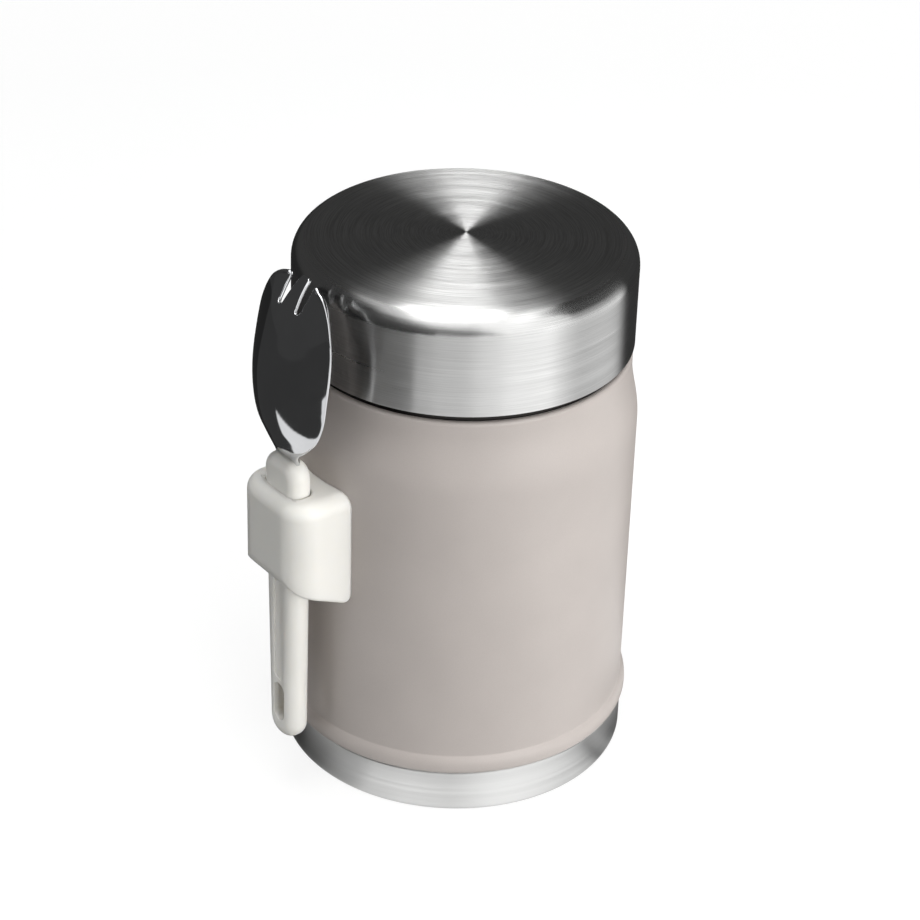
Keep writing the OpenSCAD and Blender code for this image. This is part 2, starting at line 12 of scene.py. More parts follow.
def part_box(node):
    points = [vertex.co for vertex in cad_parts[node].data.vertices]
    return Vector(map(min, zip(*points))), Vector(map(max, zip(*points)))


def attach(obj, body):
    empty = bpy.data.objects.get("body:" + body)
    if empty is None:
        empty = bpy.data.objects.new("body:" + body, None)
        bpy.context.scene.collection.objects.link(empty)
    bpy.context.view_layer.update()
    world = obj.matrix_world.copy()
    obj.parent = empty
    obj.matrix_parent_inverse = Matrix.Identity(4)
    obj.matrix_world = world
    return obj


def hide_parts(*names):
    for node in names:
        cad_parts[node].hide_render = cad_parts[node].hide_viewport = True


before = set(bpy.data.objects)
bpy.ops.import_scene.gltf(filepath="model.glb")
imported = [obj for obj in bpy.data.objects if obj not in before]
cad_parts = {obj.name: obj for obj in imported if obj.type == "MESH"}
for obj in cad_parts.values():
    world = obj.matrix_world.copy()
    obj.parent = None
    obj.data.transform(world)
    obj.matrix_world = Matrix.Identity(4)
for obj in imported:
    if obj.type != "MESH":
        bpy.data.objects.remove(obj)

bl_info = {
    "name": "Insulated Food Jar",
    "version": (1, 0, 0),
    "blender": (4, 5, 0),
    "location": "View3D > Sidebar > Food Jar",
    "description": "Builds the visible surfaces of an insulated food jar and its studio",
    "category": "Add Mesh",
}

MM = 0.001  # shapes are worked out in millimetres and stored in metres
TURNS = 192  # columns round a turned piece
ARC = 8  # steps in a rounded corner
SUPPORT = 0.06  # distance of the extra row that keeps a flat beside a corner flat, mm
SPORK_OUT = 53.2  # distance from the jar's axis to the middle of the spork's handle, mm
HANDLE_HALF = 3.25  # half the handle's thickness, mm
THREAD = {"mid_z": 124.35, "lead": 12.0, "width": 2.4, "starts": 3, "clear": 34}  # shared by neck and lid


def top_of(node):
    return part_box(node)[1].z


def radius_of(node):
    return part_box(node)[1].x


# ---------------------------------------------------------------- settings


def length(name, default, about):
    return FloatProperty(name=name, default=default, min=0, subtype="DISTANCE", unit="LENGTH",
                         description=about)


def angle(name, degrees, about):
    return FloatProperty(name=name, default=math.radians(degrees), subtype="ANGLE", unit="ROTATION",
                         description=about)


def share(name, default, about):
    return FloatProperty(name=name, default=default, min=0, max=1, subtype="FACTOR", description=about)


def hex_colour(name, default, about):
    return StringProperty(name=name, default=default, description=about + ", as an sRGB hex value")


def radiance(name, default, about):
    return FloatProperty(name=name, default=default, min=0, description=about)


class FoodJarSizes(bpy.types.PropertyGroup):
    body_r: length("Body radius", 0.045, "Radius of the coated wall")
    body_h: length("Shell height", 0.1145, "Height of the shell's top ledge")
    band_h: length("Band height", 0.012, "Height of the bare steel band")
    band_r: length("Band radius", radius_of("base_cup"), "Radius of the bare steel band")
    lid_r: length("Lid radius", radius_of("lid_shell"), "Radius of the lid")
    lid_top: length("Lid top", top_of("lid_shell"), "Height of the lid's top face")
    lid_edge: length("Lid edge", 0.006, "Rounding of the lid's top edge")
    block_top: length("Holder top", 0.0896, "Height of the holder's top face")
    block_out: length("Holder depth", 0.015, "How far the holder stands out of the wall")
    block_w: length("Holder width", 0.026, "Width of the holder")
    handle_top: length("Handle top", top_of("spork_handle"), "Height of the handle's top")
    handle_low: length("Handle low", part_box("spork_handle")[0].z, "Height of the handle's lower end")
    head_top: length("Head top", top_of("spork_head"), "Height of the tips of the tines")


class FoodJarFinishes(bpy.types.PropertyGroup):
    coat: hex_colour("Coat", "#BBB3AE", "Powder coat of the wall")
    cream: hex_colour("Cream plastic", "#F0EEE8", "Moulded holder and handle")
    steel: hex_colour("Steel", "#D2D2D1", "Stainless steel")
    coat_roughness: share("Coat roughness", 0.42, "Roughness of the powder coat")
    lid_roughness: share("Lid roughness", 0.36, "Roughness across the brush lines of the lid")
    lid_anisotropy: share("Lid anisotropy", 1.0, "How much the brush lines stretch a reflection")
    band_roughness: share("Band roughness", 0.34, "Roughness across the brush lines of the base")
    polish: share("Polish", 0.07, "Roughness of the polished spork")


class FoodJarStudio(bpy.types.PropertyGroup):
    top_power: radiance("Overhead", 5.8, "Radiance of the overhead softbox")
    key_power: radiance("Key", 5.5, "Radiance of the key softbox")
    fill_power: radiance("Fill", 1.6, "Radiance of the fill softbox")
    side_power: radiance("Side", 2.6, "Radiance of the right softbox")
    ambient: radiance("Ambient", 0.06, "Level of the room's soft light")
    key_turn: angle("Key angle", 38, "Direction of the key, to the right of the camera")
    key_rise: angle("Key height", 16, "Height of the key above the horizon")


def in_mm(context, *names):
    """The size settings of these names, in millimetres."""
    return [getattr(context.scene.food_jar_sizes, name) / MM for name in names]


# ---------------------------------------------------------------- shapes


def unit(v):
    return v / np.maximum(np.linalg.norm(v, axis=-1, keepdims=True), 1e-12)


def soften(points, radii, closed=True, steps=ARC, inset=0.0, between=0):
    """A drawing's corners, each replaced by its fillet: centre on the bisector at r / cos(half the turn),
    points swept evenly from one tangent point to the other, with one support point past each tangent point.
    A closed drawing that runs anticlockwise moves inwards by inset, and its radii shrink by as much."""
    p = np.asarray(points, float)
    r = np.maximum(np.asarray(radii, float) - inset, 0.0)
    ahead = unit(np.roll(p, -1, 0) - p)
    behind = np.roll(ahead, 1, 0)
    inwards = np.stack([-ahead[:, 1], ahead[:, 0]], -1)
    before = np.roll(inwards, 1, 0)
    if closed and inset:
        p = p + inset * (inwards + before) / (1 + np.sum(inwards * before, -1, keepdims=True))
    turn = np.arctan2(behind[:, 0] * ahead[:, 1] - behind[:, 1] * ahead[:, 0], np.sum(behind * ahead, -1))
    reach = r * np.tan(np.abs(turn) / 2)
    centre = p + unit(ahead - behind) * (r / np.maximum(np.cos(turn / 2), 1e-9))[:, None]
    start = p - behind * reach[:, None]
    sweep = turn[:, None] * np.linspace(0, 1, steps + 1)
    arm = (start - centre)[:, None, :]
    cos, sin = np.cos(sweep), np.sin(sweep)
    arc = centre[:, None, :] + np.stack(
        [arm[..., 0] * cos - arm[..., 1] * sin, arm[..., 0] * sin + arm[..., 1] * cos], -1)
    first = arc[:, :1] - behind[:, None, :] * SUPPORT
    last = arc[:, -1:] + ahead[:, None, :] * SUPPORT
    rows = [first, arc, last]
    if between:
        gap = np.roll(first, -1, 0) - last
        rows.append(last + gap * np.linspace(0, 1, between + 2)[1:-1, None])
    out = np.concatenate(rows, 1)
    if closed:
        return out.reshape(-1, 2)
    inner = out[1:-1].reshape(-1, 2)
    return np.concatenate([p[:1], inner, p[-1:]])


def grid_quads(rows, cols, wrap_rows, wrap_cols):
    """Every cell of a grid as corners (i, j), (i+1, j), (i+1, j+1), (i, j+1), with the last row or column
    running on to the first where it wraps. Also gives each corner's unwrapped row and column."""
    i, j = np.meshgrid(np.arange(rows if wrap_rows else rows - 1), np.arange(cols if wrap_cols else cols - 1),
                       indexing="ij")
    ii = np.stack([i, i + 1, i + 1, i], -1).reshape(-1, 4)
    jj = np.stack([j, j, j + 1, j + 1], -1).reshape(-1, 4)
    return (ii % rows) * cols + jj % cols, ii, jj


def cells(grid):
    """Every cell of a grid of point numbers, as its four corners."""
    return np.stack([grid[:-1, :-1], grid[1:, :-1], grid[1:, 1:], grid[:-1, 1:]], -1).reshape(-1, 4)


def new_piece(name, points, faces, uv=None, weld=1e-6):
    """Puts worked-out points and faces into a mesh at the origin, welds coinciding points and smooths it."""
    mesh = bpy.data.meshes.new(name)
    mesh.from_pydata((np.asarray(points, float) * MM).tolist(), [], [list(f) for f in faces])
    if uv is not None:
        mesh.uv_layers.new(name="profile").data.foreach_set("uv", np.asarray(uv, np.float32).ravel())
    weld_and_close(mesh, weld)
    piece = bpy.data.objects.new(name, mesh)
    bpy.context.scene.collection.objects.link(piece)
    return piece


def weld_and_close(mesh, distance):
    work = bmesh.new()
    work.from_mesh(mesh)
    bmesh.ops.remove_doubles(work, verts=work.verts, dist=distance)
    bmesh.ops.dissolve_degenerate(work, edges=work.edges, dist=distance)
    bmesh.ops.recalc_face_normals(work, faces=work.faces)
    work.to_mesh(mesh)
    work.free()
    mesh.shade_smooth()


def turned(profile):
    """A closed drawing of (radius, height) carried round the jar's axis: (r cos a, r sin a, z) for evenly
    spaced angles a. The UV map's U is the length along the drawing, and its V is the share of the turn."""
    a = np.linspace(0, 2 * math.pi, TURNS, endpoint=False)
    r, z = profile[:, :1], profile[:, 1:]
    points = np.stack([r * np.cos(a), r * np.sin(a), z + 0 * a], -1).reshape(-1, 3)
    quads, ii, jj = grid_quads(len(profile), TURNS, True, True)
    steps = np.linalg.norm(np.diff(np.concatenate([profile, profile[:1]]), axis=0), axis=1)
    along = np.concatenate([[0], np.cumsum(steps)])
    uv = np.stack([along[ii] / along[-1], jj / TURNS], -1)
    return points, quads, uv


def turned_piece(name, profile, body, slot, *extra, look=None):
    """One turned piece, with any extra meshes of (points, faces) joined to it, standing for its CAD node."""
    points, quads, uv = turned(profile)
    faces, maps = quads.tolist(), [uv.reshape(-1, 2)]
    for more, more_faces in extra:
        faces += [[int(k) + len(points) for k in f] for f in more_faces]
        maps.append(np.zeros((sum(len(f) for f in more_faces), 2)))
        points = np.concatenate([points, more])
    settle(new_piece(name + "_surface", points, faces, np.concatenate(maps)), body, slot, name, look=look)


def settle(piece, body, slot, *nodes, look=None):
    """Gives a piece the finish of its look, or else of its slot, puts it on its body and hides the CAD nodes
    that it stands for.
    """
    piece.data.materials.clear()
    piece.data.materials.append(finish(look or slot))
    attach(piece, body)
    if nodes:
        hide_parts(*nodes)


def sleeve(rows, count, base=0):
    """Faces of a closed tube: the quads between its rows of points, and a cap at each end."""
    last = base + (rows - 1) * count
    return (grid_quads(rows, count, False, True)[0] + base).tolist() + [
        list(range(base, base + count)), list(range(last + count - 1, last - 1, -1))]


def thread(wall_r, tip_r, bite, mid_z, lead, width, starts, clear):
    """Thread ridges: a trapezoid section carried along a helix of height z = mid + lead a / 360 and sunk into
    the wall by bite. Its height runs out to nothing over the last degrees at both ends, and clear is the
    angle left open between one ridge and the next."""
    runs_out, crest_edge = 9, 0.12  # degrees and millimetres
    out, rises = (1 if tip_r > wall_r else -1), abs(tip_r - wall_r)
    span = 360 / starts - clear
    a = np.linspace(-span / 2, span / 2, 49)
    fade = np.sin(np.clip((span / 2 - np.abs(a)) / runs_out, 0.02, 1) * math.pi / 2)
    # The section's six points: a foot in the wall, its place at the wall, the crest, and back again
    side = np.array([-1, -1, -1, 1, 1, 1])
    crest = np.array([0, 0, 1, 1, 0, 0])
    free = np.array([0, 1, 1, 1, 1, 0])
    half = width / 2 - 0.5 * rises * crest - crest_edge * crest
    r = wall_r - out * bite + free * bite * out + out * rises * crest * fade[:, None]
    z = mid_z + lead * a[:, None] / 360 + side * half
    points, faces = [], []
    for k in range(starts):
        turn = np.radians((k + 0.5) * 360 / starts + a)[:, None]
        grid = np.stack([r * np.cos(turn), r * np.sin(turn), z + 0 * r], -1)
        faces += sleeve(len(a), len(side), k * len(a) * len(side))
        points.append(grid.reshape(-1, 3))
    return np.concatenate(points), faces


def ease(x):
    """Half a cosine wave, from 0 at 0 to 1 at 1."""
    return (1 - np.cos(math.pi * np.clip(x, 0, 1))) / 2


def hermite(table, x):
    """Cubic curve through the table's rows, each column against the first, with each row's slope taken
    between its two neighbours and none at the ends."""
    t = np.asarray(table, float)
    slope = np.zeros_like(t)
    slope[1:-1] = (t[2:] - t[:-2]) / (t[2:, :1] - t[:-2, :1])
    i = np.clip(np.searchsorted(t[:, 0], x, side="right") - 1, 0, len(t) - 2)
    h = (t[i + 1, 0] - t[i, 0])[:, None]
    s = (x - t[i, 0])[:, None] / h
    return (t[i] * (1 + 2 * s) * (1 - s) ** 2 + t[i + 1] * s * s * (3 - 2 * s)
            + h * slope[i] * s * (1 - s) ** 2 - h * slope[i + 1] * s * s * (1 - s))[:, 1:]


def held(u, t, z):
    """Outwards and sideways from the jar on the holder's side, as a place in the frame."""
    return np.stack([-u, -t, z], -1)


def upright(outline, u):
    """A drawing of (sideways, height) stood up at a distance from the jar's axis."""
    return held(0 * outline[:, 0] + u, outline[:, 0], outline[:, 1])


# ---------------------------------------------------------------- materials


def linear(hex_value):
    """sRGB hex to the linear colour a shader takes."""
    c = np.array([int(hex_value[k:k + 2], 16) for k in (1, 3, 5)]) / 255
    c = np.where(c <= 0.04045, c / 12.92, ((c + 0.055) / 1.055) ** 2.4)
    return (*c.tolist(), 1.0)


def add(tree, kind, inputs=None, **settings):
    """Adds one node: its settings, then its inputs, each a value or another node's output."""
    made = tree.nodes.new(kind)
    for key, value in settings.items():
        setattr(made, key, value)
    for key, value in (inputs or {}).items():
        if isinstance(value, bpy.types.NodeSocket):
            tree.links.new(value, made.inputs[key])
        else:
            made.inputs[key].default_value = value
    return made


def calc(tree, operation, *values, **settings):
    """A Math node on up to three values."""
    return add(tree, "ShaderNodeMath", dict(enumerate(values)), operation=operation, **settings).outputs[0]


def vector(tree, operation, first, second=None, out=0):
    """A Vector Math node on one or two vectors, or a vector and its scale."""
    more = {} if second is None else {"Scale" if operation == "SCALE" else 1: second}
    return add(tree, "ShaderNodeVectorMath", {0: first, **more}, operation=operation).outputs[out]


def height_in(tree, place):
    return add(tree, "ShaderNodeSeparateXYZ", {0: place}).outputs["Z"]


def bumped(tree, height, depth, strength=1.0):
    """The normal over a relief of the given depth in millimetres."""
    return add(tree, "ShaderNodeBump", {"Strength": strength, "Distance": depth * MM,
                                         "Height": height}).outputs[0]


def fresh_tree(owner):
    """An empty node tree for a material or a world."""
    owner.use_nodes = True
    owner.node_tree.nodes.clear()
    return owner.node_tree


def start_material(name):
    """A new material with an empty node tree, and where its object is being shaded."""
    made = bpy.data.materials.new(name)
    tree = fresh_tree(made)
    return made, tree, add(tree, "ShaderNodeTexCoord").outputs["Object"]


def noise(tree, place, scale, detail=3.0, roughness=0.55):
    return add(tree, "ShaderNodeTexNoise", {"Vector": place, "Scale": scale, "Detail": detail,
                                            "Roughness": roughness}).outputs["Fac"]


def between(tree, value, low, high, low_to, high_to):
    return add(tree, "ShaderNodeMapRange", {"Value": value, "From Min": low, "From Max": high,
                                            "To Min": low_to, "To Max": high_to}).outputs["Result"]


def varied(tree, value, low_to, high_to):
    """A noise's usual range, 0.3 to 0.7, carried over to another one."""
    return between(tree, value, 0.3, 0.7, low_to, high_to)


def tint(tree, value, colour, dark, light):
    """An sRGB colour that runs from its share dark to its share light over a noise's usual range."""
    tones = add(tree, "ShaderNodeValToRGB", {"Fac": value})
    for stop, position, factor in zip(tones.color_ramp.elements, (0.3, 0.7), (dark, light)):
        stop.position = position
        stop.color = (*(min(c * factor, 1) for c in linear(colour)[:3]), 1)
    return tones.outputs["Color"]


def surface(tree, inputs):
    shader = add(tree, "ShaderNodeBsdfPrincipled", inputs)
    add(tree, "ShaderNodeOutputMaterial", {"Surface": shader.outputs[0]})


def brush_lines(tree, place, spacing, drift):
    """Where to read a noise so that its lines run round the jar's axis: (drift x/r, drift y/r,
    (z - r) / spacing), which changes quickly down a wall or across a disc, and slowly round it."""
    flat = vector(tree, "MULTIPLY", place, (1, 1, 0))
    radius = vector(tree, "LENGTH", flat, out="Value")
    down = calc(tree, "SUBTRACT", height_in(tree, place), radius)
    line = add(tree, "ShaderNodeCombineXYZ", {"Z": calc(tree, "MULTIPLY", down, 1 / (spacing * MM))}).outputs[0]
    return vector(tree, "ADD", line, vector(tree, "SCALE", vector(tree, "NORMALIZE", flat), drift))


def brushed_steel(name, colour, roughness, anisotropy, wall=None, edge=None, calm=0.75):
    """Stainless sheet brushed on a lathe with belt grit. Lines round the axis stretch each lamp's reflection
    across them into bright wedges, and single deeper lines glint as thin arcs on the lid's face. The wall and
    the rounded edge can be buffed smoother than the face, and calm is the wall's share of the lines' contrast.
    Grit lines are about 0.1 mm apart, drawn at a quarter of a millimetre so that they show."""
    made, tree, place = start_material(name)
    where = brush_lines(tree, place, spacing=0.24, drift=2.2)
    fine = noise(tree, where, 1.0, detail=4.0, roughness=0.65)
    bands = noise(tree, where, 0.17, detail=2.0, roughness=0.5)
    height = height_in(tree, place)
    # Heights in metres between which the lid's wall turns into its edge, and the edge into its face
    face = between(tree, height, 0.1424, 0.1431, 0.0, 1.0)
    buffed = between(tree, height, 0.1368, 0.1384, wall or roughness, edge or roughness)
    contrast = between(tree, face, 0.0, 1.0, calm, 2.6)
    toned = calc(tree, "MULTIPLY_ADD", calc(tree, "SUBTRACT", fine, 0.5), contrast, 0.5)
    across = between(tree, face, 0.0, 1.0, buffed, roughness)
    surface(tree, {
        "Base Color": tint(tree, toned, colour, 0.82, 1.08),
        "Metallic": 1.0,
        "Roughness": calc(tree, "ADD", across, varied(tree, bands, -0.04, 0.04)),
        "Anisotropic": anisotropy,
        "Tangent": add(tree, "ShaderNodeTangent", direction_type="UV_MAP", uv_map="profile").outputs[0],
        "Normal": bumped(tree, fine, 0.026, face),
    })
    return made


def plain_steel(name, colour, roughness, grain=0.25, depth=0.002, spread=0.03):
    """Rolled or drawn stainless steel: an even metal grey with a faint cloudy roughness from the rolls."""
    made, tree, place = start_material(name)
    cloud = noise(tree, place, 1 / (9 * MM))
    surface(tree, {
        "Base Color": tint(tree, cloud, colour, 0.95, 1.02),
        "Metallic": 1.0,
        "Roughness": varied(tree, cloud, roughness - spread, roughness + spread),
        "Normal": bumped(tree, noise(tree, place, 1 / (grain * MM)), depth),
    })
    return made


def painted_shade_steel(name, colour, shade_colour, roughness):
    """Satin steel whose collar was welded: bare above, and painted dark up to 117 mm as the shade in the gap
    under the lid.
    """
    made, tree, place = start_material(name)
    cloud = noise(tree, place, 1 / (4 * MM))
    # The painted shade ends in an edge 0.7 mm wide that wanders by up to 0.4 mm
    level = calc(tree, "ADD", height_in(tree, place), calc(tree, "MULTIPLY", cloud, 0.4 * MM))
    # 1 above the collar's painted shade, 0 within it
    bare = between(tree, level, 0.1171, 0.1178, 0.0, 1.0)
    surface(tree, {
        "Base Color": add(tree, "ShaderNodeMix", {"Factor": bare, "A": linear(shade_colour), "B": linear(colour)},
                          data_type="RGBA").outputs["Result"],
        "Metallic": 1.0,
        "Roughness": varied(tree, cloud, roughness - 0.03, roughness + 0.05),
    })
    return made


def moulded(name, colour, roughness, grain=0.3, depth=0.0015, metal=0.0, milky=0.0):
    """Moulded polymer, rubber or pressed powder: soft satin gloss, a fine spark-eroded grain, a barely uneven
    tone, and light that sinks into the milky ones by about 3 mm."""
    made, tree, place = start_material(name)
    fine = noise(tree, place, 1 / (grain * MM), detail=2.0)
    surface(tree, {
        "Base Color": tint(tree, noise(tree, place, 1 / (14 * MM), detail=2.0), colour, 0.97, 1.0),
        "Metallic": metal,
        "Roughness": varied(tree, fine, roughness - 0.03, roughness + 0.03),
        "IOR": 1.49,
        "Subsurface Weight": milky,
        "Subsurface Radius": (1.0, 0.95, 0.85),
        "Subsurface Scale": 3 * MM,
        "Normal": bumped(tree, fine, depth),
    })
    return made


def powder_coat(name, colour, roughness):
    """Baked polyester powder with a fine metallic fleck: satin sheen, orange peel about 0.7 mm across and a
    sandy grain of about 0.2 mm, which break the edge of every reflection."""
    made, tree, place = start_material(name)
    grain, peel, cloud = (noise(tree, place, 1 / (size * MM), detail=2.0) for size in (0.22, 0.7, 18))
    toned = calc(tree, "MULTIPLY", calc(tree, "ADD", grain, cloud), 0.5)
    surface(tree, {
        "Base Color": tint(tree, toned, colour, 0.94, 1.04),
        "Roughness": varied(tree, grain, roughness - 0.05, roughness + 0.05),
        "IOR": 1.5,
        "Normal": bumped(tree, calc(tree, "ADD", grain, peel), 0.006),
    })
    return made


def crinkled_foil(name, colour):
    """Thin copper foil wound by hand: a warm metal, bright, with wrinkles about 4 mm apart."""
    made, tree, place = start_material(name)
    wrinkle = add(tree, "ShaderNodeTexVoronoi", {"Vector": place, "Scale": 1 / (4 * MM)}).outputs["Distance"]
    fine = noise(tree, place, 1 / (1.2 * MM))
    surface(tree, {
        "Base Color": tint(tree, fine, colour, 0.85, 1.08),
        "Metallic": 1.0,
        "Roughness": varied(tree, fine, 0.2, 0.34),
        "Normal": bumped(tree, calc(tree, "ADD", wrinkle, fine), 0.25),
    })
    return made


FINISHES = {}


def finish(slot):
    """The material of a record slot, made once."""
    if slot not in FINISHES:
        look = bpy.context.scene.food_jar_finishes
        makers = {
            "coated_steel": lambda: powder_coat("powder_coated_steel", look.coat, look.coat_roughness),
            "brushed_steel": lambda: brushed_steel(
                "brushed_stainless_steel", look.steel, look.lid_roughness, look.lid_anisotropy,
                wall=0.31, edge=0.21),
            "base_steel": lambda: brushed_steel(
                "brushed_base_steel", look.steel, look.band_roughness, 1.0, calm=0.16),
            "satin_steel": lambda: plain_steel("satin_drawn_steel", look.steel, 0.3),
            # The neck's collar is painted dark up to 117 mm as the shade in the gap under the lid
            "shaded_collar_steel": lambda: painted_shade_steel("satin_steel_painted_collar_shade", look.steel, "#2E2C2B", 0.3),
            "polished_steel": lambda: plain_steel(
                "polished_stainless_steel", "#D3D4D6", look.polish, grain=0.5, depth=0.0004, spread=0.015),
            "screw_steel": lambda: plain_steel("zinc_plated_steel", "#A9ACB1", 0.34, grain=0.2, depth=0.004),
            "solder": lambda: plain_steel("tin_solder", "#A7ABAF", 0.42, grain=0.8, depth=0.03),
            "copper_foil": lambda: crinkled_foil("copper_foil", "#C98256"),
            "getter_alloy": lambda: moulded(
                "pressed_getter_alloy", "#5A5552", 0.75, grain=0.35, depth=0.03, metal=0.6),
            "cream_plastic": lambda: moulded("cream_polypropylene", look.cream, 0.36, milky=0.35),
            "holder_plastic": lambda: moulded("ivory_nylon", "#DAD5C8", 0.5, depth=0.004),
            "liner_plastic": lambda: moulded("white_polypropylene", "#EAE8E2", 0.4),
            "foam": lambda: moulded("polyurethane_foam", "#F2E7BC", 0.9, grain=0.9, depth=0.25),
            "gasket_silicone": lambda: moulded("grey_silicone", "#8F9296", 0.55, grain=0.4, depth=0.004),
        }
        FINISHES[slot] = makers[slot]()
    return FINISHES[slot]


# ---------------------------------------------------------------- pieces


class FOODJAR_OT_outer_shell(bpy.types.Operator):
    """Coated outer wall: bead at its foot, straight wall, shoulder and rolled-in ledge"""

    bl_idname = "food_jar.outer_shell"
    bl_label = "Outer shell"

    def execute(self, context):
        body_r, body_h, low = in_mm(context, "body_r", "body_h", "band_h")
        bead_out, bead_round, bead_z, bead_blend, bead_fall, crease = 1.3, 1.5, 13.6, 3.5, 2.6, 0.012
        shoulder_in, shoulder_h, flat, ledge, wall, edge = 2.15, 16.0, 3.5, 40.5, 0.6, 1.0
        shoulder = body_h - flat - shoulder_h
        # Bead: a round lower edge, then an upright face that falls back to the wall, met in a soft crease
        turn = np.linspace(0, math.pi / 2, 12)
        z = np.concatenate([low + bead_round * (1 - np.cos(turn)),
                            np.linspace(bead_z, bead_z + bead_blend + 1.2, 34),
                            np.linspace(bead_z + bead_blend + 1.7, shoulder - 0.5, 24),
                            shoulder + shoulder_h * np.linspace(0, 1, 28)])
        left = bead_out * (1 - np.clip((z - bead_z) / bead_blend, 0, None) ** bead_fall)
        sunk = np.clip((low + bead_round - z) / bead_round, 0, 1)
        under = bead_round * (1 - np.sqrt(1 - sunk ** 2))
        bead = (left + np.sqrt(left ** 2 + crease)) / 2 - under
        outer = body_r + bead - shoulder_in * ease((z - shoulder) / shoulder_h)
        narrow = body_r - shoulder_in
        lip = soften([[narrow, z[-1]], [narrow, body_h], [ledge, body_h], [ledge, body_h - wall],
                      [narrow - wall, body_h - wall], [narrow - wall, z[-1]]],
                     [0, edge, 0.15, 0.15, edge - 0.4, 0], closed=False)
        inner = np.stack([outer - wall, z], -1)[::-1]
        profile = np.concatenate([np.stack([outer, z], -1), lip[1:-1], inner])
        turned_piece("outer_shell", profile, "jar", "coated_steel")
        return {"FINISHED"}


class FOODJAR_OT_neck(bpy.types.Operator):
    """Steel neck with its collar and three-start thread"""

    bl_idname = "food_jar.neck"
    bl_label = "Neck"

    def execute(self, context):
        low, = in_mm(context, "body_h")
        foot, collar, bore, tube, wall, crest, bite = 40.3, 41.5, 38.6, 39.3, 0.7, 0.85, 0.3
        rise, top = low + 2.6, low + 16.0
        profile = soften([[foot, low], [collar, low], [collar, rise], [tube, rise], [tube, top], [bore, top],
                          [bore, rise - wall], [foot, rise - wall]],
                         [0.1, 0.1, 1.0, 0.3, 0.12, 0.12, 0.2, 0.2])
        ridges = thread(tube, tube + crest, bite, **THREAD)
        # The collar below the lid gets painted shade, not a real tint
        turned_piece("neck_ring", profile, "jar", "satin_steel", ridges, look="shaded_collar_steel")
        return {"FINISHED"}


class FOODJAR_OT_base(bpy.types.Operator):
    """Bare steel base cup with its resting ring, and the disc that closes it"""

    bl_idname = "food_jar.base"
    bl_label = "Base"

    def execute(self, context):
        band, top = in_mm(context, "band_r", "band_h")
        wall, vent, rise, spigot, edge, ring, flank, play = 0.6, 1.2, 2.5, 44.3, 1.0, 5.0, 1.75, 0.1
        foot = band - edge - ring
        recess, inner, collar, high = foot - flank, band - wall, spigot - wall, top + 8
        profile = soften([
            [spigot, high], [collar, high], [collar, top], [inner, top - 1.2], [inner, wall],
            [foot - wall / 2, wall], [recess - wall / 2, rise + wall], [vent, rise + wall], [vent, rise],
            [recess, rise], [foot, 0], [band, 0], [band, top], [spigot, top]],
            [0.15, 0.15, 0.3, 0.3, 0.6, 0.3, 0.3, 0.1, 0.1, 0.3, 0.5, edge, 0.6, 0.05])
        turned_piece("base_cup", profile, "jar", "brushed_steel", look="base_steel")
        r, low = recess - play, rise - wall
        disc = soften([[0, low], [r, low], [r, rise], [0, rise]], [0, 0.15, 0.1, 0], closed=False)
        turned_piece("base_disc", disc, "jar", "brushed_steel", look="base_steel")
        return {"FINISHED"}


class FOODJAR_OT_flask(bpy.types.Operator):
    """Inner flask with its mouth and turned rim, and the drawn dish that is its floor"""

    bl_idname = "food_jar.flask"
    bl_label = "Flask"

    def execute(self, context):
        wide, wall, mouth_in, flange = 40.4, 0.5, 2.6, 39.3
        floor, join, low, high, rim = 10.0, 20.0, 98.5, 112.5, 131.0
        narrow, inside = wide - mouth_in, wide - wall

        def mouth(r):
            """The curve that draws the wall in to the mouth, from its radius r below."""
            x = np.linspace(0, 1, 25)
            return np.stack([r - mouth_in * ease(x), low + (high - low) * x], -1)

        lip = soften([[narrow, high], [narrow, rim - wall], [flange, rim - wall], [flange, rim],
                      [narrow - wall, rim], [narrow - wall, high]],
                     [0, 0.15, 0.25, 0.25, 0.5, 0], closed=False)
        profile = np.concatenate([[[wide, join]], mouth(wide), lip[1:-1], mouth(inside)[::-1],
                                  [[inside, join]]])
        turned_piece("inner_flask", profile, "jar", "satin_steel")
        dish = soften([[0, floor], [inside, floor], [inside, join], [wide, join],
                       [wide, floor - wall], [0, floor - wall]],
                      [0, 6, 0.1, 0.1, 6.5, 0], closed=False, steps=16)
        turned_piece("flask_dish", dish, "jar", "satin_steel")
        return {"FINISHED"}


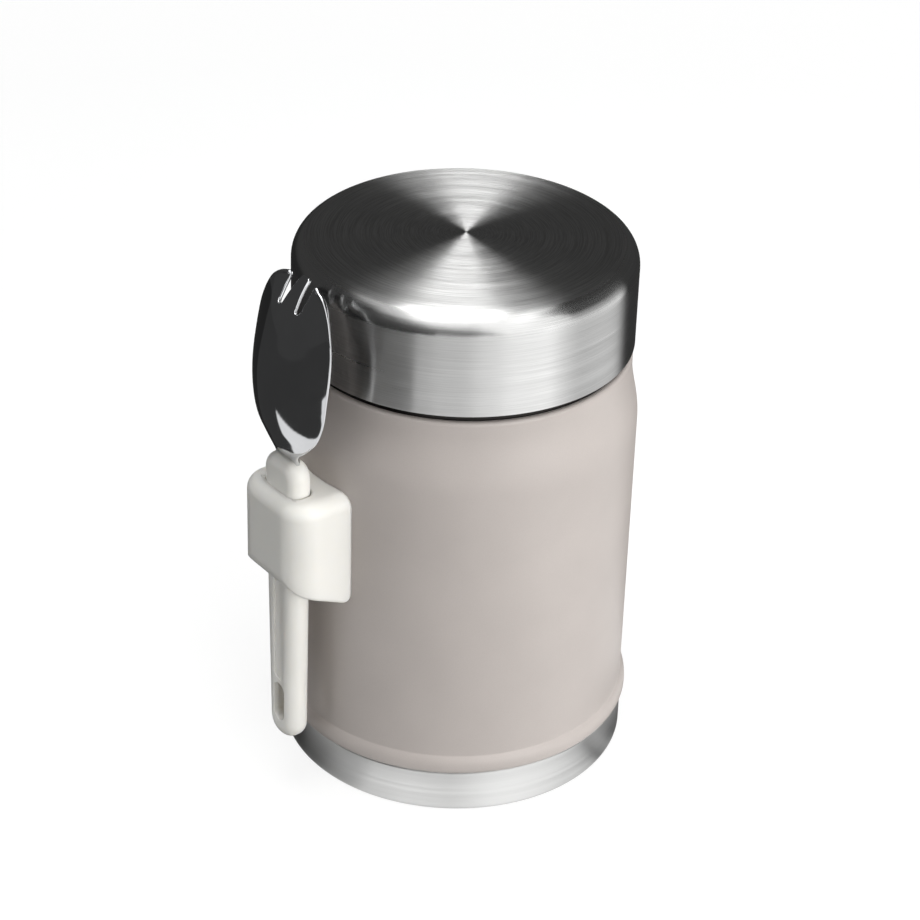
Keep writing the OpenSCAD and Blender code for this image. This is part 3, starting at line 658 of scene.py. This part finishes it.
class FOODJAR_OT_lid(bpy.types.Operator):
    """Lid: brushed cap, threaded liner, steel cover of the plug and sealing ring"""

    bl_idname = "food_jar.lid"
    bl_label = "Lid"

    def execute(self, context):
        r, top, edge = in_mm(context, "lid_r", "lid_top", "lid_edge")
        low, wall, lifted, falls = 116.5, 0.5, 0.4, 0.9
        cap = soften([[0, top - wall], [r - wall, top - wall], [r - wall, low], [r, low], [r, top], [0, top]],
                     [0, edge - wall, 0.2, 0.2, edge, 0], closed=False, steps=18)
        # The face is spun slightly domed: it stands higher in the middle and falls towards its rim
        out, z = np.clip(cap[:, 0] / (r - edge), 0, 1), cap[:, 1]
        cap[:, 1] += np.where(z > top - edge - 1, lifted - falls * out ** 2, 0) * np.clip((z - low) / 20, 0, 1)
        turned_piece("lid_shell", cap, "lid", "brushed_steel")
        skin, skirt, foot, web, plug, cup, floor = 42.6, 41.2, 117.6, 133.0, 36.0, 34.6, 124.0
        thick, collar, crest, bite = 1.4, web + 3.4, 0.75, 0.7
        liner = soften([
            [0, floor], [plug, floor], [plug, web], [skirt, web], [skirt, foot], [skin, foot],
            [skin, collar], [skirt, collar], [skirt, web + thick], [cup, web + thick],
            [cup, floor + thick], [0, floor + thick]],
            [0, 0.5, 0.3, 0.4, 0.3, 0.3, 0.2, 0.2, 0.2, 0.3, 0.3, 0], closed=False)
        ridges = thread(skirt, skirt - crest, bite, **THREAD)
        turned_piece("lid_liner", liner, "lid", "liner_plastic", ridges)
        cover_r, rim, gap = 36.5, 129.0, 0.02
        cover = soften([[0, floor - wall], [cover_r, floor - wall], [cover_r, rim], [plug + gap, rim],
                        [plug + gap, floor], [0, floor]], [0, 1.2, 0.1, 0.1, 0.15, 0], closed=False)
        turned_piece("lid_inner_cover", cover, "lid", "satin_steel")
        ring = soften([[38.2, 131.0], [38.9, 131.0], [40.8, 131.4], [40.8, web], [36.4, web], [36.4, 131.4]],
                      [0.1, 0.1, 0.3, 0.15, 0.15, 0.3])
        turned_piece("lid_gasket", ring, "lid", "gasket_silicone")
        return {"FINISHED"}


class FOODJAR_OT_holder(bpy.types.Operator):
    """Cream holder block: one closed surface from the slot over the top, down the sides and under"""

    bl_idname = "food_jar.holder"
    bl_label = "Holder"

    def execute(self, context):
        top, out, width, body = in_mm(context, "block_top", "block_out", "block_w", "body_r")
        mid, half_w = SPORK_OUT, width / 2
        tall, climbs, corner, top_r, low_r, edge = 31.5, 6.9, 7.0, 3.8, 6.5, 1.3
        wall_r, face, low, climb = body + 0.05, body + out, top - tall, climbs / out

        def plan(inset):
            """The block's outline seen from above, anticlockwise from the wall, moved in by inset: straight
            sides, two round outer corners, and the jar's own curve at the back."""
            a = half_w - inset
            start = math.sqrt(wall_r ** 2 - a ** 2)
            turn = np.linspace(0, math.pi / 2, 17)
            side = np.linspace(start, face - corner, 18)[:-1]
            ring_r = corner - inset
            arc_u, arc_t = face - corner + ring_r * np.sin(turn), a - ring_r + ring_r * np.cos(turn)
            front = np.linspace(arc_t[-1], -arc_t[-1], 22)[1:-1]
            back = np.linspace(-a, a, 26)[1:-1]
            u = np.concatenate([side, arc_u, 0 * front + face - inset, arc_u[::-1], side[::-1],
                                np.sqrt(wall_r ** 2 - back ** 2)])
            t = np.concatenate([0 * side + a, arc_t, front, -arc_t[::-1], 0 * side - a, back])
            return u, t

        edge_u, edge_t = plan(0)
        facing = np.arctan2(edge_t, edge_u - mid)

        def slot(grow, z):
            """The handle's section at a height, grown all round, met by the same rays as the outline."""
            foot_half, widens, foot_z, handle_h = 5.3, 1.8, 14.2, 83.8
            wide, thick = foot_half + widens * (z - foot_z) / handle_h + grow, HANDLE_HALF + grow
            box = soften([[-thick, -wide], [thick, -wide], [thick, wide], [-thick, wide]],
                         [3.0] * 4, between=12, steps=24)
            turn = np.arctan2(box[:, 1], box[:, 0])
            order = np.argsort(turn)
            reach = np.interp(facing, turn[order], np.hypot(box[:, 0], box[:, 1])[order], period=2 * math.pi)
            return mid + reach * np.cos(facing), reach * np.sin(facing)

        low_u = face - low_r
        low_z = low + climb * (low_u - body) + low_r * math.sqrt(1 + climb * climb)
        turn_u = low_u + low_r * math.sin(math.atan(climb))
        side_u = math.sqrt(wall_r ** 2 - half_w ** 2)

        def underside(u):
            """Height of the underside: a small rounding at the wall, a slope up, then an arc to the face."""
            wall_edge = 2.4
            arc = low_z - np.sqrt(np.clip(low_r ** 2 - (u - low_u) ** 2, 0, None))
            near = np.clip(1 - (u - side_u) / wall_edge, 0, 1)
            return (np.where(u > turn_u, arc, low + climb * (u - body))
                    + wall_edge * (1 - np.sqrt(1 - 0.97 * near ** 2)))

        # Share of the small edge rounding: whole beside the block, none where the arc already meets the face
        beside = np.clip((face - edge_u) / (corner * 0.8), 0, 1) ** 0.5
        deepest = 6.8  # how far in the last row of the underside lies
        rows = []

        def row(u, t, z):
            rows.append(held(u, t, z + 0 * u))

        # Up the slot, out over its small lip, across the top, down the sides and in along the underside
        gap, lip = 0.25, 0.4
        deep_u, deep_t = slot(gap, low + climb * (mid - body))
        row(deep_u, deep_t, underside(deep_u))
        for z in np.linspace(low + 6, top - 0.5, 6):
            row(*slot(gap, z), z)
        for a in np.linspace(0, math.pi / 2, 5):
            row(*slot(gap + lip * (1 - math.cos(a)), top), top - lip * (1 - math.sin(a)))
        inner, rim = slot(gap + lip, top), plan(top_r)
        for a in (0.06, 0.35, 0.65, 0.94):
            row(inner[0] + (rim[0] - inner[0]) * a, inner[1] + (rim[1] - inner[1]) * a, top)
        for a in np.linspace(math.pi / 2, 0, 12):
            row(*plan(top_r * (1 - math.cos(a))), top - top_r * (1 - math.sin(a)))
        row(edge_u, edge_t, top - top_r - SUPPORT)
        foot = underside(edge_u) + edge * beside
        for a in np.linspace(0, 1, 8):
            row(edge_u, edge_t, (top - top_r - 1) * (1 - a) + foot * a)
        for a in np.linspace(0, math.pi / 2, 20)[1:]:
            inset = deepest * (1 - math.cos(a))
            u, t = plan(inset)
            lift = edge * (1 - math.sqrt(1 - max(1 - inset / edge, 0) ** 2))
            row(u, t, underside(u) + lift * beside)
        last, first = rows[-1], rows[0]
        rows += [last * (1 - a) + first * a for a in (0.04, 0.5)]
        quads = grid_quads(len(rows), len(edge_u), True, True)[0]
        block = new_piece("holder_block_surface", np.concatenate(rows), quads)
        settle(block, "jar", "cream_plastic", "holder_block")
        return {"FINISHED"}


class FOODJAR_OT_handle(bpy.types.Operator):
    """Cream handle of the spork: a tapered bar with round edges, a groove and a hanging slot"""

    bl_idname = "food_jar.handle"
    bl_label = "Spork handle"

    def execute(self, context):
        low, top, block_top = in_mm(context, "handle_low", "handle_top", "block_top")
        mid, edge = SPORK_OUT, 3.0
        foot_half, top_half, foot_r, head_r = 5.25, 7.1, 5.1, 4.6
        corners = [[-foot_half, low], [foot_half, low], [top_half, top], [-top_half, top]]

        def ring(inset):
            """The handle's outline seen from outside, moved in by inset."""
            return soften(corners, [foot_r, foot_r, head_r, head_r], inset=inset, between=10, steps=12)

        flat = ring(edge + SUPPORT)
        rows = [upright(flat, mid - HANDLE_HALF)]
        for side in (-1, 1):
            for a in np.linspace(math.pi / 2, 0, 9)[::-side]:
                u = mid + side * (HANDLE_HALF - edge + edge * math.sin(a))
                rows.append(upright(ring(edge * (1 - math.cos(a))), u))
        rows.append(upright(flat, mid + HANDLE_HALF))
        handle = new_piece("spork_handle_surface", np.concatenate(rows), sleeve(len(rows), len(flat)))
        # The hanging slot goes through, and the groove above it is shallow
        past, groove, groove_half, groove_top = mid + 6, 0.4, 2.0, block_top - 4
        eye_low, eye_half, gap = low + 5.4, 2.3, 1.2
        eye_top = eye_low + 11.4
        cut(handle, rod(eye_half, eye_low, eye_top, mid - 6, past))
        cut(handle, rod(groove_half, eye_top + gap, groove_top, mid + HANDLE_HALF - groove, past))
        bevel(handle, width=0.28, segments=3, degrees=35)
        settle(handle, "spork", "cream_plastic", "spork_handle")
        return {"FINISHED"}


def rod(half, low, high, near, far):
    """A prism with round ends across the handle: its outline is a slot, half a circle at each end."""
    outline = soften([[-half, low], [half, low], [half, high], [-half, high]], [half - 0.08] * 4, steps=12)
    return plate("cutter", outline, near, far, weld=1e-7)


def plate(name, outline, near, far, weld=1e-6):
    """A flat plate of the outline's shape, from near to far outwards from the jar's axis."""
    points = np.concatenate([upright(outline, near), upright(outline, far)])
    return new_piece(name, points, sleeve(2, len(outline)), weld=weld)


def cut(piece, cutter):
    """Takes the cutter out of the piece and removes the cutter."""
    step = piece.modifiers.new("cut", "BOOLEAN")
    step.operation, step.object, step.solver = "DIFFERENCE", cutter, "MANIFOLD"
    bake(piece)
    bpy.data.objects.remove(cutter)


def bevel(piece, width, segments, degrees):
    step = piece.modifiers.new("edges", "BEVEL")
    step.width, step.segments, step.limit_method = width * MM, segments, "ANGLE"
    step.angle_limit = math.radians(degrees)
    step.use_clamp_overlap = True
    bake(piece)


def bake(piece):
    """Applies the piece's modifiers to its mesh."""
    graph = bpy.context.evaluated_depsgraph_get()
    graph.update()
    made = bpy.data.meshes.new_from_object(piece.evaluated_get(graph))
    old = piece.data
    piece.modifiers.clear()
    piece.data = made
    made.name = piece.name
    bpy.data.meshes.remove(old)


# Stations along the head: share of its length, half width as a share of the widest, how far the back
# bulges out, and how far the rim lies behind it
HEAD = [[0, 0.301, 0, 0], [0.02, 0.301, 0, 0], [0.08, 0.39, 1.9, 1.3], [0.145, 0.62, 3.2, 2.9],
        [0.225, 0.83, 4.6, 4.7], [0.335, 0.95, 5.5, 6.2], [0.46, 0.99, 5.7, 6.9], [0.58, 1, 4.9, 6.8],
        [0.705, 0.97, 3, 5.6], [0.805, 0.9, 1, 4], [0.91, 0.76, -2.2, 1.4], [0.965, 0.6, -4.4, -0.4],
        [1, 0.34, -5.8, -1.6]]


class FOODJAR_OT_head(bpy.types.Operator):
    """Polished steel head of the spork: bowl, neck, three tines and the tang inside the handle"""

    bl_idname = "food_jar.head"
    bl_label = "Spork head"

    def execute(self, context):
        seam, high = in_mm(context, "handle_top", "head_top")
        mid, sheet, half = SPORK_OUT, 1.1, 15.6
        low, edge = seam - 1, sheet / 2
        # Each slit: how far out its root lies, its half width there, its inner and its outer side at the
        # tips, and the share of the head's length where it starts
        root_t, slit_r, tip_t, tip_out, slit_from = 0.23 * half, 0.9, 0.084 * half, 0.34 * half - 0.3, 0.853
        root_z = seam + (high - seam) * slit_from + slit_r
        open_r = slit_r + edge
        root_low = root_z - open_r

        def shape(z):
            """Half width, bulge of the back and depth of the rim at each height."""
            wide, bulge, depth = hermite(HEAD, (np.ravel(z) - low) / (high - low)).T.reshape(3, *np.shape(z))
            return wide * half, bulge, depth

        def middle(t, z):
            """The sheet's middle surface: its distance from the jar's axis."""
            wide, bulge, depth = shape(z)
            return mid + bulge - depth * (t / wide) ** 2

        def outline(z):
            """Half width at each height, moved in square to the outline by half the sheet's thickness."""
            step, most = 0.05, 1.5
            slope = (shape(z + step)[0] - shape(z - step)[0]) / (2 * step)
            return shape(z)[0] - edge * np.minimum(np.sqrt(1 + slope ** 2), most)

        def slit(z):
            """The two sides of a slit: a round root, then straight lines to the tips."""
            opening = np.where(z < root_z, np.sqrt(np.clip(open_r ** 2 - (root_z - z) ** 2, 0, None)), open_r)
            climb = np.clip((z - root_z) / (high + sheet - root_z), 0, 1)
            return (root_t - opening + climb * (tip_t - root_t + slit_r),
                    root_t + opening + climb * (tip_out - root_t - slit_r))

        # The outer tines end where they would get narrower than the least width
        least = 0.12
        test = np.linspace(root_z, high, 400)
        side_end = test[outline(test) - slit(test)[1] > least][-1]
        # Below the slits: one sheet from rim to rim, with lines that lead up to the slits' roots
        wing, centre = 18, 16  # columns of an outer tine and of the middle one
        below = np.linspace(low + edge, root_low, 76)[:, None]
        full = outline(below)
        line = root_t * full / full[-1]
        outer_share, centre_share = np.linspace(0, 1, wing + 1), np.linspace(-1, 1, centre + 1)
        t = np.concatenate([-full + (full - line) * outer_share[:-1], line * centre_share[:-1],
                            line + (full - line) * outer_share], 1)
        index = np.arange(t.size).reshape(t.shape)
        ts, zs, quads, rim = [t.ravel()], [(below + 0 * t).ravel()], [index], [index[:, 0]]
        start = t.size
        # Each tine carries on its own columns, and the rim is followed up and down round all three
        for first, columns, end, side in ((0, wing, side_end, -1), (wing, centre, high - edge, 0),
                                          (wing + centre, wing, side_end, 1)):
            share = np.linspace(0, 1, columns + 1)
            z = np.concatenate([
                root_z - open_r * np.cos(np.linspace(0, math.pi / 2, 12)[1:]),
                root_z + (end - root_z) * (1 - (1 - np.linspace(0, 1, 30)[1:]) ** 1.5)])[:, None]
            inner, outer = slit(z)
            if side == 0:
                t = -inner + 2 * inner * share
            else:
                t = outer + (outline(z) - outer) * share
                t = t if side > 0 else -t[:, ::-1]
            more = start + np.arange(t.size).reshape(t.shape)
            start += t.size
            tine = np.concatenate([index[-1:, first:first + columns + 1], more])
            quads.append(tine)
            rim += [tine[1:, 0], tine[-1, 1:], tine[-2:0:-1, -1], tine[:1, -1]]
            ts.append(t.ravel())
            zs.append((z + 0 * t).ravel())
        rim += [index[-2::-1, -1], index[0, -2:0:-1]]
        rim = np.concatenate(rim)
        t, z = np.concatenate(ts), np.concatenate(zs)
        flat = held(middle(t, z), t, z)
        step = 0.02
        fall_t = (middle(t + step, z) - middle(t - step, z)) / (2 * step)
        fall_z = (middle(t, z + step) - middle(t, z - step)) / (2 * step)
        normal = unit(np.stack([-1 + 0 * t, fall_t, -fall_z], -1))
        # The rim: a flat cut with soft edges, half a squared-off circle carried round the outline
        along = unit(np.roll(flat[rim], -1, 0) - np.roll(flat[rim], 1, 0))
        outwards = unit(np.cross(along, normal[rim]))
        if np.sum(outwards * (flat[rim] - flat.mean(0))) < 0:
            outwards = -outwards
        turn, square = np.linspace(math.pi / 2, -math.pi / 2, 9)[1:-1, None, None], 0.55
        out, up = np.cos(turn) ** square, np.sign(np.sin(turn)) * np.abs(np.sin(turn)) ** square
        edges = flat[rim] + edge * (out * outwards + up * normal[rim])
        points = np.concatenate([flat + edge * normal, flat - edge * normal, edges.reshape(-1, 3)])
        edge_rows = 2 * len(t) + np.arange(len(turn) * len(rim)).reshape(len(turn), -1)
        rows = np.concatenate([rim[None], edge_rows, rim[None] + len(t)])
        back = np.concatenate([cells(grid) for grid in quads])
        rounded = cells(np.concatenate([rows, rows[:, :1]], 1))
        faces = np.concatenate([back, back[:, ::-1] + len(t), rounded])
        head = new_piece("spork_head_surface", points, faces)
        tang_half, tang_low, tang_top = 3.5, 46, low + 0.4
        tang = soften([[-tang_half, tang_low], [tang_half, tang_low], [tang_half, tang_top],
                       [-tang_half, tang_top]], [1, 1, 0.1, 0.1])
        inside = plate("spork_tang_surface", tang, mid - edge, mid + edge)
        settle(inside, "spork", "polished_steel")
        settle(head, "spork", "polished_steel", "spork_head")
        return {"FINISHED"}


class FOODJAR_OT_fittings(bpy.types.Operator):
    """Finishes of the hidden parts that keep their own shape"""

    bl_idname = "food_jar.fittings"
    bl_label = "Hidden fittings"

    def execute(self, context):
        for node, slot in (("vacuum_seal", "solder"), ("foil_wrap", "copper_foil"), ("getter", "getter_alloy"),
                           ("getter_clip", "satin_steel"), ("holder_plate", "satin_steel"),
                           ("holder_carrier", "holder_plastic"), ("holder_screws", "screw_steel"),
                           ("lid_foam", "foam"), ("tang_pins", "screw_steel")):
            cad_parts[node].material_slots[0].material = finish(slot)
        return {"FINISHED"}


# ---------------------------------------------------------------- studio

# The camera's place in metres, the way it looks, and its right
EYE = Vector((-0.37715, -0.48306, 0.44898))
AHEAD = Vector((0.52689, 0.67440, -0.51728)).normalized()
RIGHT = Vector((0.79772, -0.60241, 0.02717)).normalized()
# The jar's middle, and the level directions from it towards the camera and to the camera's right
CENTRE = Vector((0, 0, 0.075))
NEAR = Vector((-AHEAD.x, -AHEAD.y, 0)).normalized()
SIDE = Vector((-NEAR.y, NEAR.x, 0))
UP = Vector((0, 0, 1))
ROOM = 3000.0  # radius of the painted surround, mm


def around(turn, rise, distance):
    """A place seen from the jar: turn to the right of the camera's side and rise above the horizon."""
    return CENTRE + distance * (math.cos(rise) * (math.cos(turn) * NEAR + math.sin(turn) * SIDE)
                                + math.sin(rise) * UP)


def stand(thing, place, across, back):
    """Puts a camera or a lamp at its place, with its back turned to the direction back."""
    turn = Matrix((across, back.cross(across), back)).transposed().to_4x4()
    thing.matrix_world = Matrix.Translation(place) @ turn


def softbox(name, place, size_x, size_y, level, up=UP, target=CENTRE, mirrored=False):
    """A rectangular lamp of even radiance that faces the jar: its power is radiance x pi x area. The tent
    stands in for it in reflections, unless it is mirrored."""
    data = bpy.data.lights.new(name, "AREA")
    data.shape, data.size, data.size_y = "RECTANGLE", size_x, size_y
    data.energy = level * math.pi * size_x * size_y
    lamp = bpy.data.objects.new(name, data)
    bpy.context.scene.collection.objects.link(lamp)
    back = (place - target).normalized()
    stand(lamp, place, up.cross(back).normalized(), back)
    lamp.visible_camera = False
    lamp.visible_glossy = mirrored


def card(name, r, z, turn, level):
    """A card that only mirror reflections see: rows of points at radii r and heights z in millimetres, each
    row at the angles turn to the right of the camera's side. Each point has its own level of brightness."""
    a = math.atan2(-AHEAD.y, -AHEAD.x) + np.radians(turn)
    points = np.stack([r * np.cos(a), r * np.sin(a), z + 0 * r * a], -1)
    quads = grid_quads(len(r), len(turn), False, True)[0]
    made = new_piece(name, points.reshape(-1, 3), quads, weld=1e-9)
    levels = made.data.attributes.new("level", "FLOAT", "POINT")
    levels.data.foreach_set("value", level.ravel().astype(np.float32))
    painted = bpy.data.materials.new(name + "_paint")
    tree = fresh_tree(painted)
    seen = add(tree, "ShaderNodeAttribute", attribute_name="level").outputs["Fac"]
    glowing = add(tree, "ShaderNodeEmission", {"Color": (1, 1, 1, 1), "Strength": seen})
    add(tree, "ShaderNodeOutputMaterial", {"Surface": glowing.outputs[0]})
    made.data.materials.append(painted)
    made.visible_camera = made.visible_diffuse = made.visible_shadow = made.visible_transmission = False


def ramp(x):
    """From 0 at 0 to 1 at 1, level at both ends."""
    x = np.clip(x, 0, 1)
    return x * x * (3 - 2 * x)


def table_card():
    """A ring on the floor round the jar that only reflections see: pale paper in front and to the right,
    dark behind and to the left. Angles are seen from the camera's side, distances in millimetres."""
    turn = np.arange(-180, 180, 1.0)
    reach = np.concatenate([np.linspace(45.7, 70, 14), np.geomspace(72, ROOM, 120)])[:, None]
    dark = np.where(turn < -122, 0.022, 0.045)
    # Where the pale paper ends on the left, its level far out (darker far behind the jar's left), and its
    # level close to the jar, where the band sees it
    edge = np.interp(turn, [-90, -85, -60, -47, -38, -30, -28, -22, -17, -15],
                     [225, 220, 167, 150, 158, 180, 330, 360, 450, 4000])
    far = ramp((turn + 79) / 1.5 + 0.5) * ramp((117 - turn) / 12 + 0.5) * ramp((edge - reach) / 6 + 0.5)
    far = far * np.interp(turn, [-24, -14, 0, 11, 22, 33, 44, 55, 66, 77, 99],
                          [0.95, 0.86, 0.93, 1.15, 1.14, 1.33, 1.39, 1.6, 1.13, 0.93, 1.0])
    far = far * (1 - 0.6 * ramp((reach - 500) / 400) * ramp((15 - turn) / 12))
    near = np.interp(turn, [-66, -54, -48, -36, -30, -16, 0, 14, 26, 38, 50, 58, 63, 70, 78],
                     [0, 0.11, 0.33, 0.76, 1.25, 1.45, 1.28, 1.48, 1.48, 1.4, 1.25, 0.88, 0.2, 0.5, 0.12])
    near_to, near_fade = 58, 14
    level = dark + near + (far - near) * ramp((reach - near_to) / near_fade)
    card("table", reach, 0.4, turn, level)


def tent_card():
    """A dark dome that only reflections see, with the pale walls of the lamps' side painted on it: a high
    panel on the left, a wide one in front and on the right, and a low strip at the far right."""
    turn = np.arange(-180, 180, 2.0)
    rise = np.concatenate([np.arange(0, 60, 1.5), np.linspace(60, 89.8, 9)])[:, None]
    # The walls' lower and upper edge in degrees above the horizon, their level, and that of the roof's rim
    foot = np.interp(turn, [-74, -50, -30, -20, 6, 16, 26], [44, 42, 36, 29, 26, 14, 1])
    head = np.interp(turn, [-60, -10, 20, 64, 72, 125], [54, 60, 54, 60, 14, 12])
    front = np.interp(turn, [-74, -66, -56, -34, -14, 6, 18, 40, 68, 76, 110, 122],
                      [0, 0.8, 1.0, 1.4, 1.3, 1.2, 1.4, 1.5, 1.2, 0.6, 0.4, 0])
    crown = np.interp(turn, [-135, -120, -90, -50, -36, 0, 30, 50, 72, 100, 125, 140],
                      [0, 1.0, 0.9, 0.8, 1.0, 0.9, 0.9, 1.5, 2, 1, 1, 0])
    roof = np.interp(turn, [60, 120], [50, 58])
    level = (0.055 + front * ramp((rise - foot) / 3 + 0.5) * ramp((head - rise) / 8 + 0.5)
             + crown * ramp((rise - roof) / 8))
    e = np.radians(rise)
    card("tent", ROOM * np.cos(e), ROOM * np.sin(e), turn, level)


def seen_directly(tree):
    """1 on camera, glossy and transmission rays, 0 on all others."""
    path = add(tree, "ShaderNodeLightPath").outputs
    direct = calc(tree, "ADD", path["Is Camera Ray"], path["Is Glossy Ray"])
    return calc(tree, "ADD", direct, path["Is Transmission Ray"], use_clamp=True)


def white_floor():
    """Matt white paper that keeps a soft shadow, and reads as white to the camera and in metal. Its own light
    grows from 0.8 beside the jar to 1 at 1.4 metres."""
    paper, tree, place = start_material("white_seamless_paper")
    away = vector(tree, "LENGTH", place, out="Value")
    level = calc(tree, "MULTIPLY", seen_directly(tree), between(tree, away, 0.45, 1.4, 0.8, 1.0))
    matt = add(tree, "ShaderNodeBsdfDiffuse", {"Color": linear("#8E8E8D")}).outputs[0]
    white = add(tree, "ShaderNodeEmission", {"Color": (1, 1, 1, 1), "Strength": level}).outputs[0]
    mix = add(tree, "ShaderNodeAddShader", {0: matt, 1: white}).outputs[0]
    add(tree, "ShaderNodeOutputMaterial", {"Surface": mix})
    reach, low = 2 * ROOM, -0.2
    corners = [[-reach, -reach, low], [reach, -reach, low], [reach, reach, low], [-reach, reach, low]]
    floor = new_piece("floor", corners, [[0, 1, 2, 3]])
    floor.data.materials.append(paper)


def white_world(ambient):
    """A surround that is white where it is seen, and lights the jar only with a faint bluish ambient."""
    world = bpy.data.worlds.new("surround")
    tree = fresh_tree(world)
    room = add(tree, "ShaderNodeBackground", {"Color": (0.8, 0.9, 1, 1), "Strength": ambient}).outputs[0]
    white = add(tree, "ShaderNodeBackground", {"Color": (1, 1, 1, 1), "Strength": 1.0}).outputs[0]
    mix = add(tree, "ShaderNodeMixShader", {0: seen_directly(tree), 1: room, 2: white}).outputs[0]
    add(tree, "ShaderNodeOutputWorld", {"Surface": mix})
    return world


class FOODJAR_OT_studio(bpy.types.Operator):
    """White floor and surround, painted cards for the reflections, softboxes and the camera"""

    bl_idname = "food_jar.studio"
    bl_label = "Studio"

    def execute(self, context):
        scene = context.scene
        look = scene.food_jar_studio
        scene.view_settings.view_transform = "Standard"
        data = bpy.data.cameras.new("camera")
        data.lens, data.sensor_width = 108.464, 36.0
        data.clip_start, data.clip_end = 0.01, 50.0
        camera = bpy.data.objects.new("camera", data)
        scene.collection.objects.link(camera)
        back = -AHEAD
        stand(camera, EYE, (RIGHT - RIGHT.dot(back) * back).normalized(), back)
        scene.camera = camera
        white_floor()
        scene.world = white_world(look.ambient)
        tent_card()
        table_card()
        below = CENTRE - 0.06 * SIDE
        softbox("overhead", below + 0.9 * UP, 0.46, 0.5, look.top_power, up=NEAR, target=below, mirrored=True)
        softbox("ceiling", CENTRE + 1.2 * UP, 1.2, 1.2, level=0.8, up=NEAR)
        low, left, right = math.radians(14), math.radians(-72), math.radians(86)
        softbox("key", around(look.key_turn, look.key_rise, 1.1), 0.98, 0.62, look.key_power)
        softbox("fill", around(left, low, 1.2), 0.8, 0.68, look.fill_power)
        softbox("side", around(right, low, 1.15), 0.9, 0.66, look.side_power)
        return {"FINISHED"}


class FOODJAR_PT_panel(bpy.types.Panel):
    """Lists the steps that build the jar"""

    bl_idname = "FOODJAR_PT_panel"
    bl_label = "Food Jar"
    bl_space_type = "VIEW_3D"
    bl_region_type = "UI"
    bl_category = "Food Jar"

    def draw(self, context):
        for step in STEPS:
            self.layout.operator(step.bl_idname)
        for group in GROUPS:
            settings = getattr(context.scene, group)
            column = self.layout.column(align=True)
            for name in settings.__annotations__:
                column.prop(settings, name)


STEPS = (FOODJAR_OT_outer_shell, FOODJAR_OT_neck, FOODJAR_OT_base, FOODJAR_OT_flask, FOODJAR_OT_lid,
         FOODJAR_OT_holder, FOODJAR_OT_handle, FOODJAR_OT_head, FOODJAR_OT_fittings, FOODJAR_OT_studio)
GROUPS = {"food_jar_sizes": FoodJarSizes, "food_jar_finishes": FoodJarFinishes,
          "food_jar_studio": FoodJarStudio}


def register():
    for group in GROUPS.values():
        bpy.utils.register_class(group)
    for step in (*STEPS, FOODJAR_PT_panel):
        bpy.utils.register_class(step)
    for name, group in GROUPS.items():
        setattr(bpy.types.Scene, name, PointerProperty(type=group))


def unregister():
    for name in GROUPS:
        delattr(bpy.types.Scene, name)
    for step in (FOODJAR_PT_panel, *reversed(STEPS)):
        bpy.utils.unregister_class(step)
    for group in reversed(list(GROUPS.values())):
        bpy.utils.unregister_class(group)


def main():
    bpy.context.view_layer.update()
    register()
    for step in STEPS:
        group, name = step.bl_idname.split(".")
        if getattr(getattr(bpy.ops, group), name)() != {"FINISHED"}:
            raise RuntimeError(step.bl_label + " did not finish")


if __name__ == "__main__":
    main()
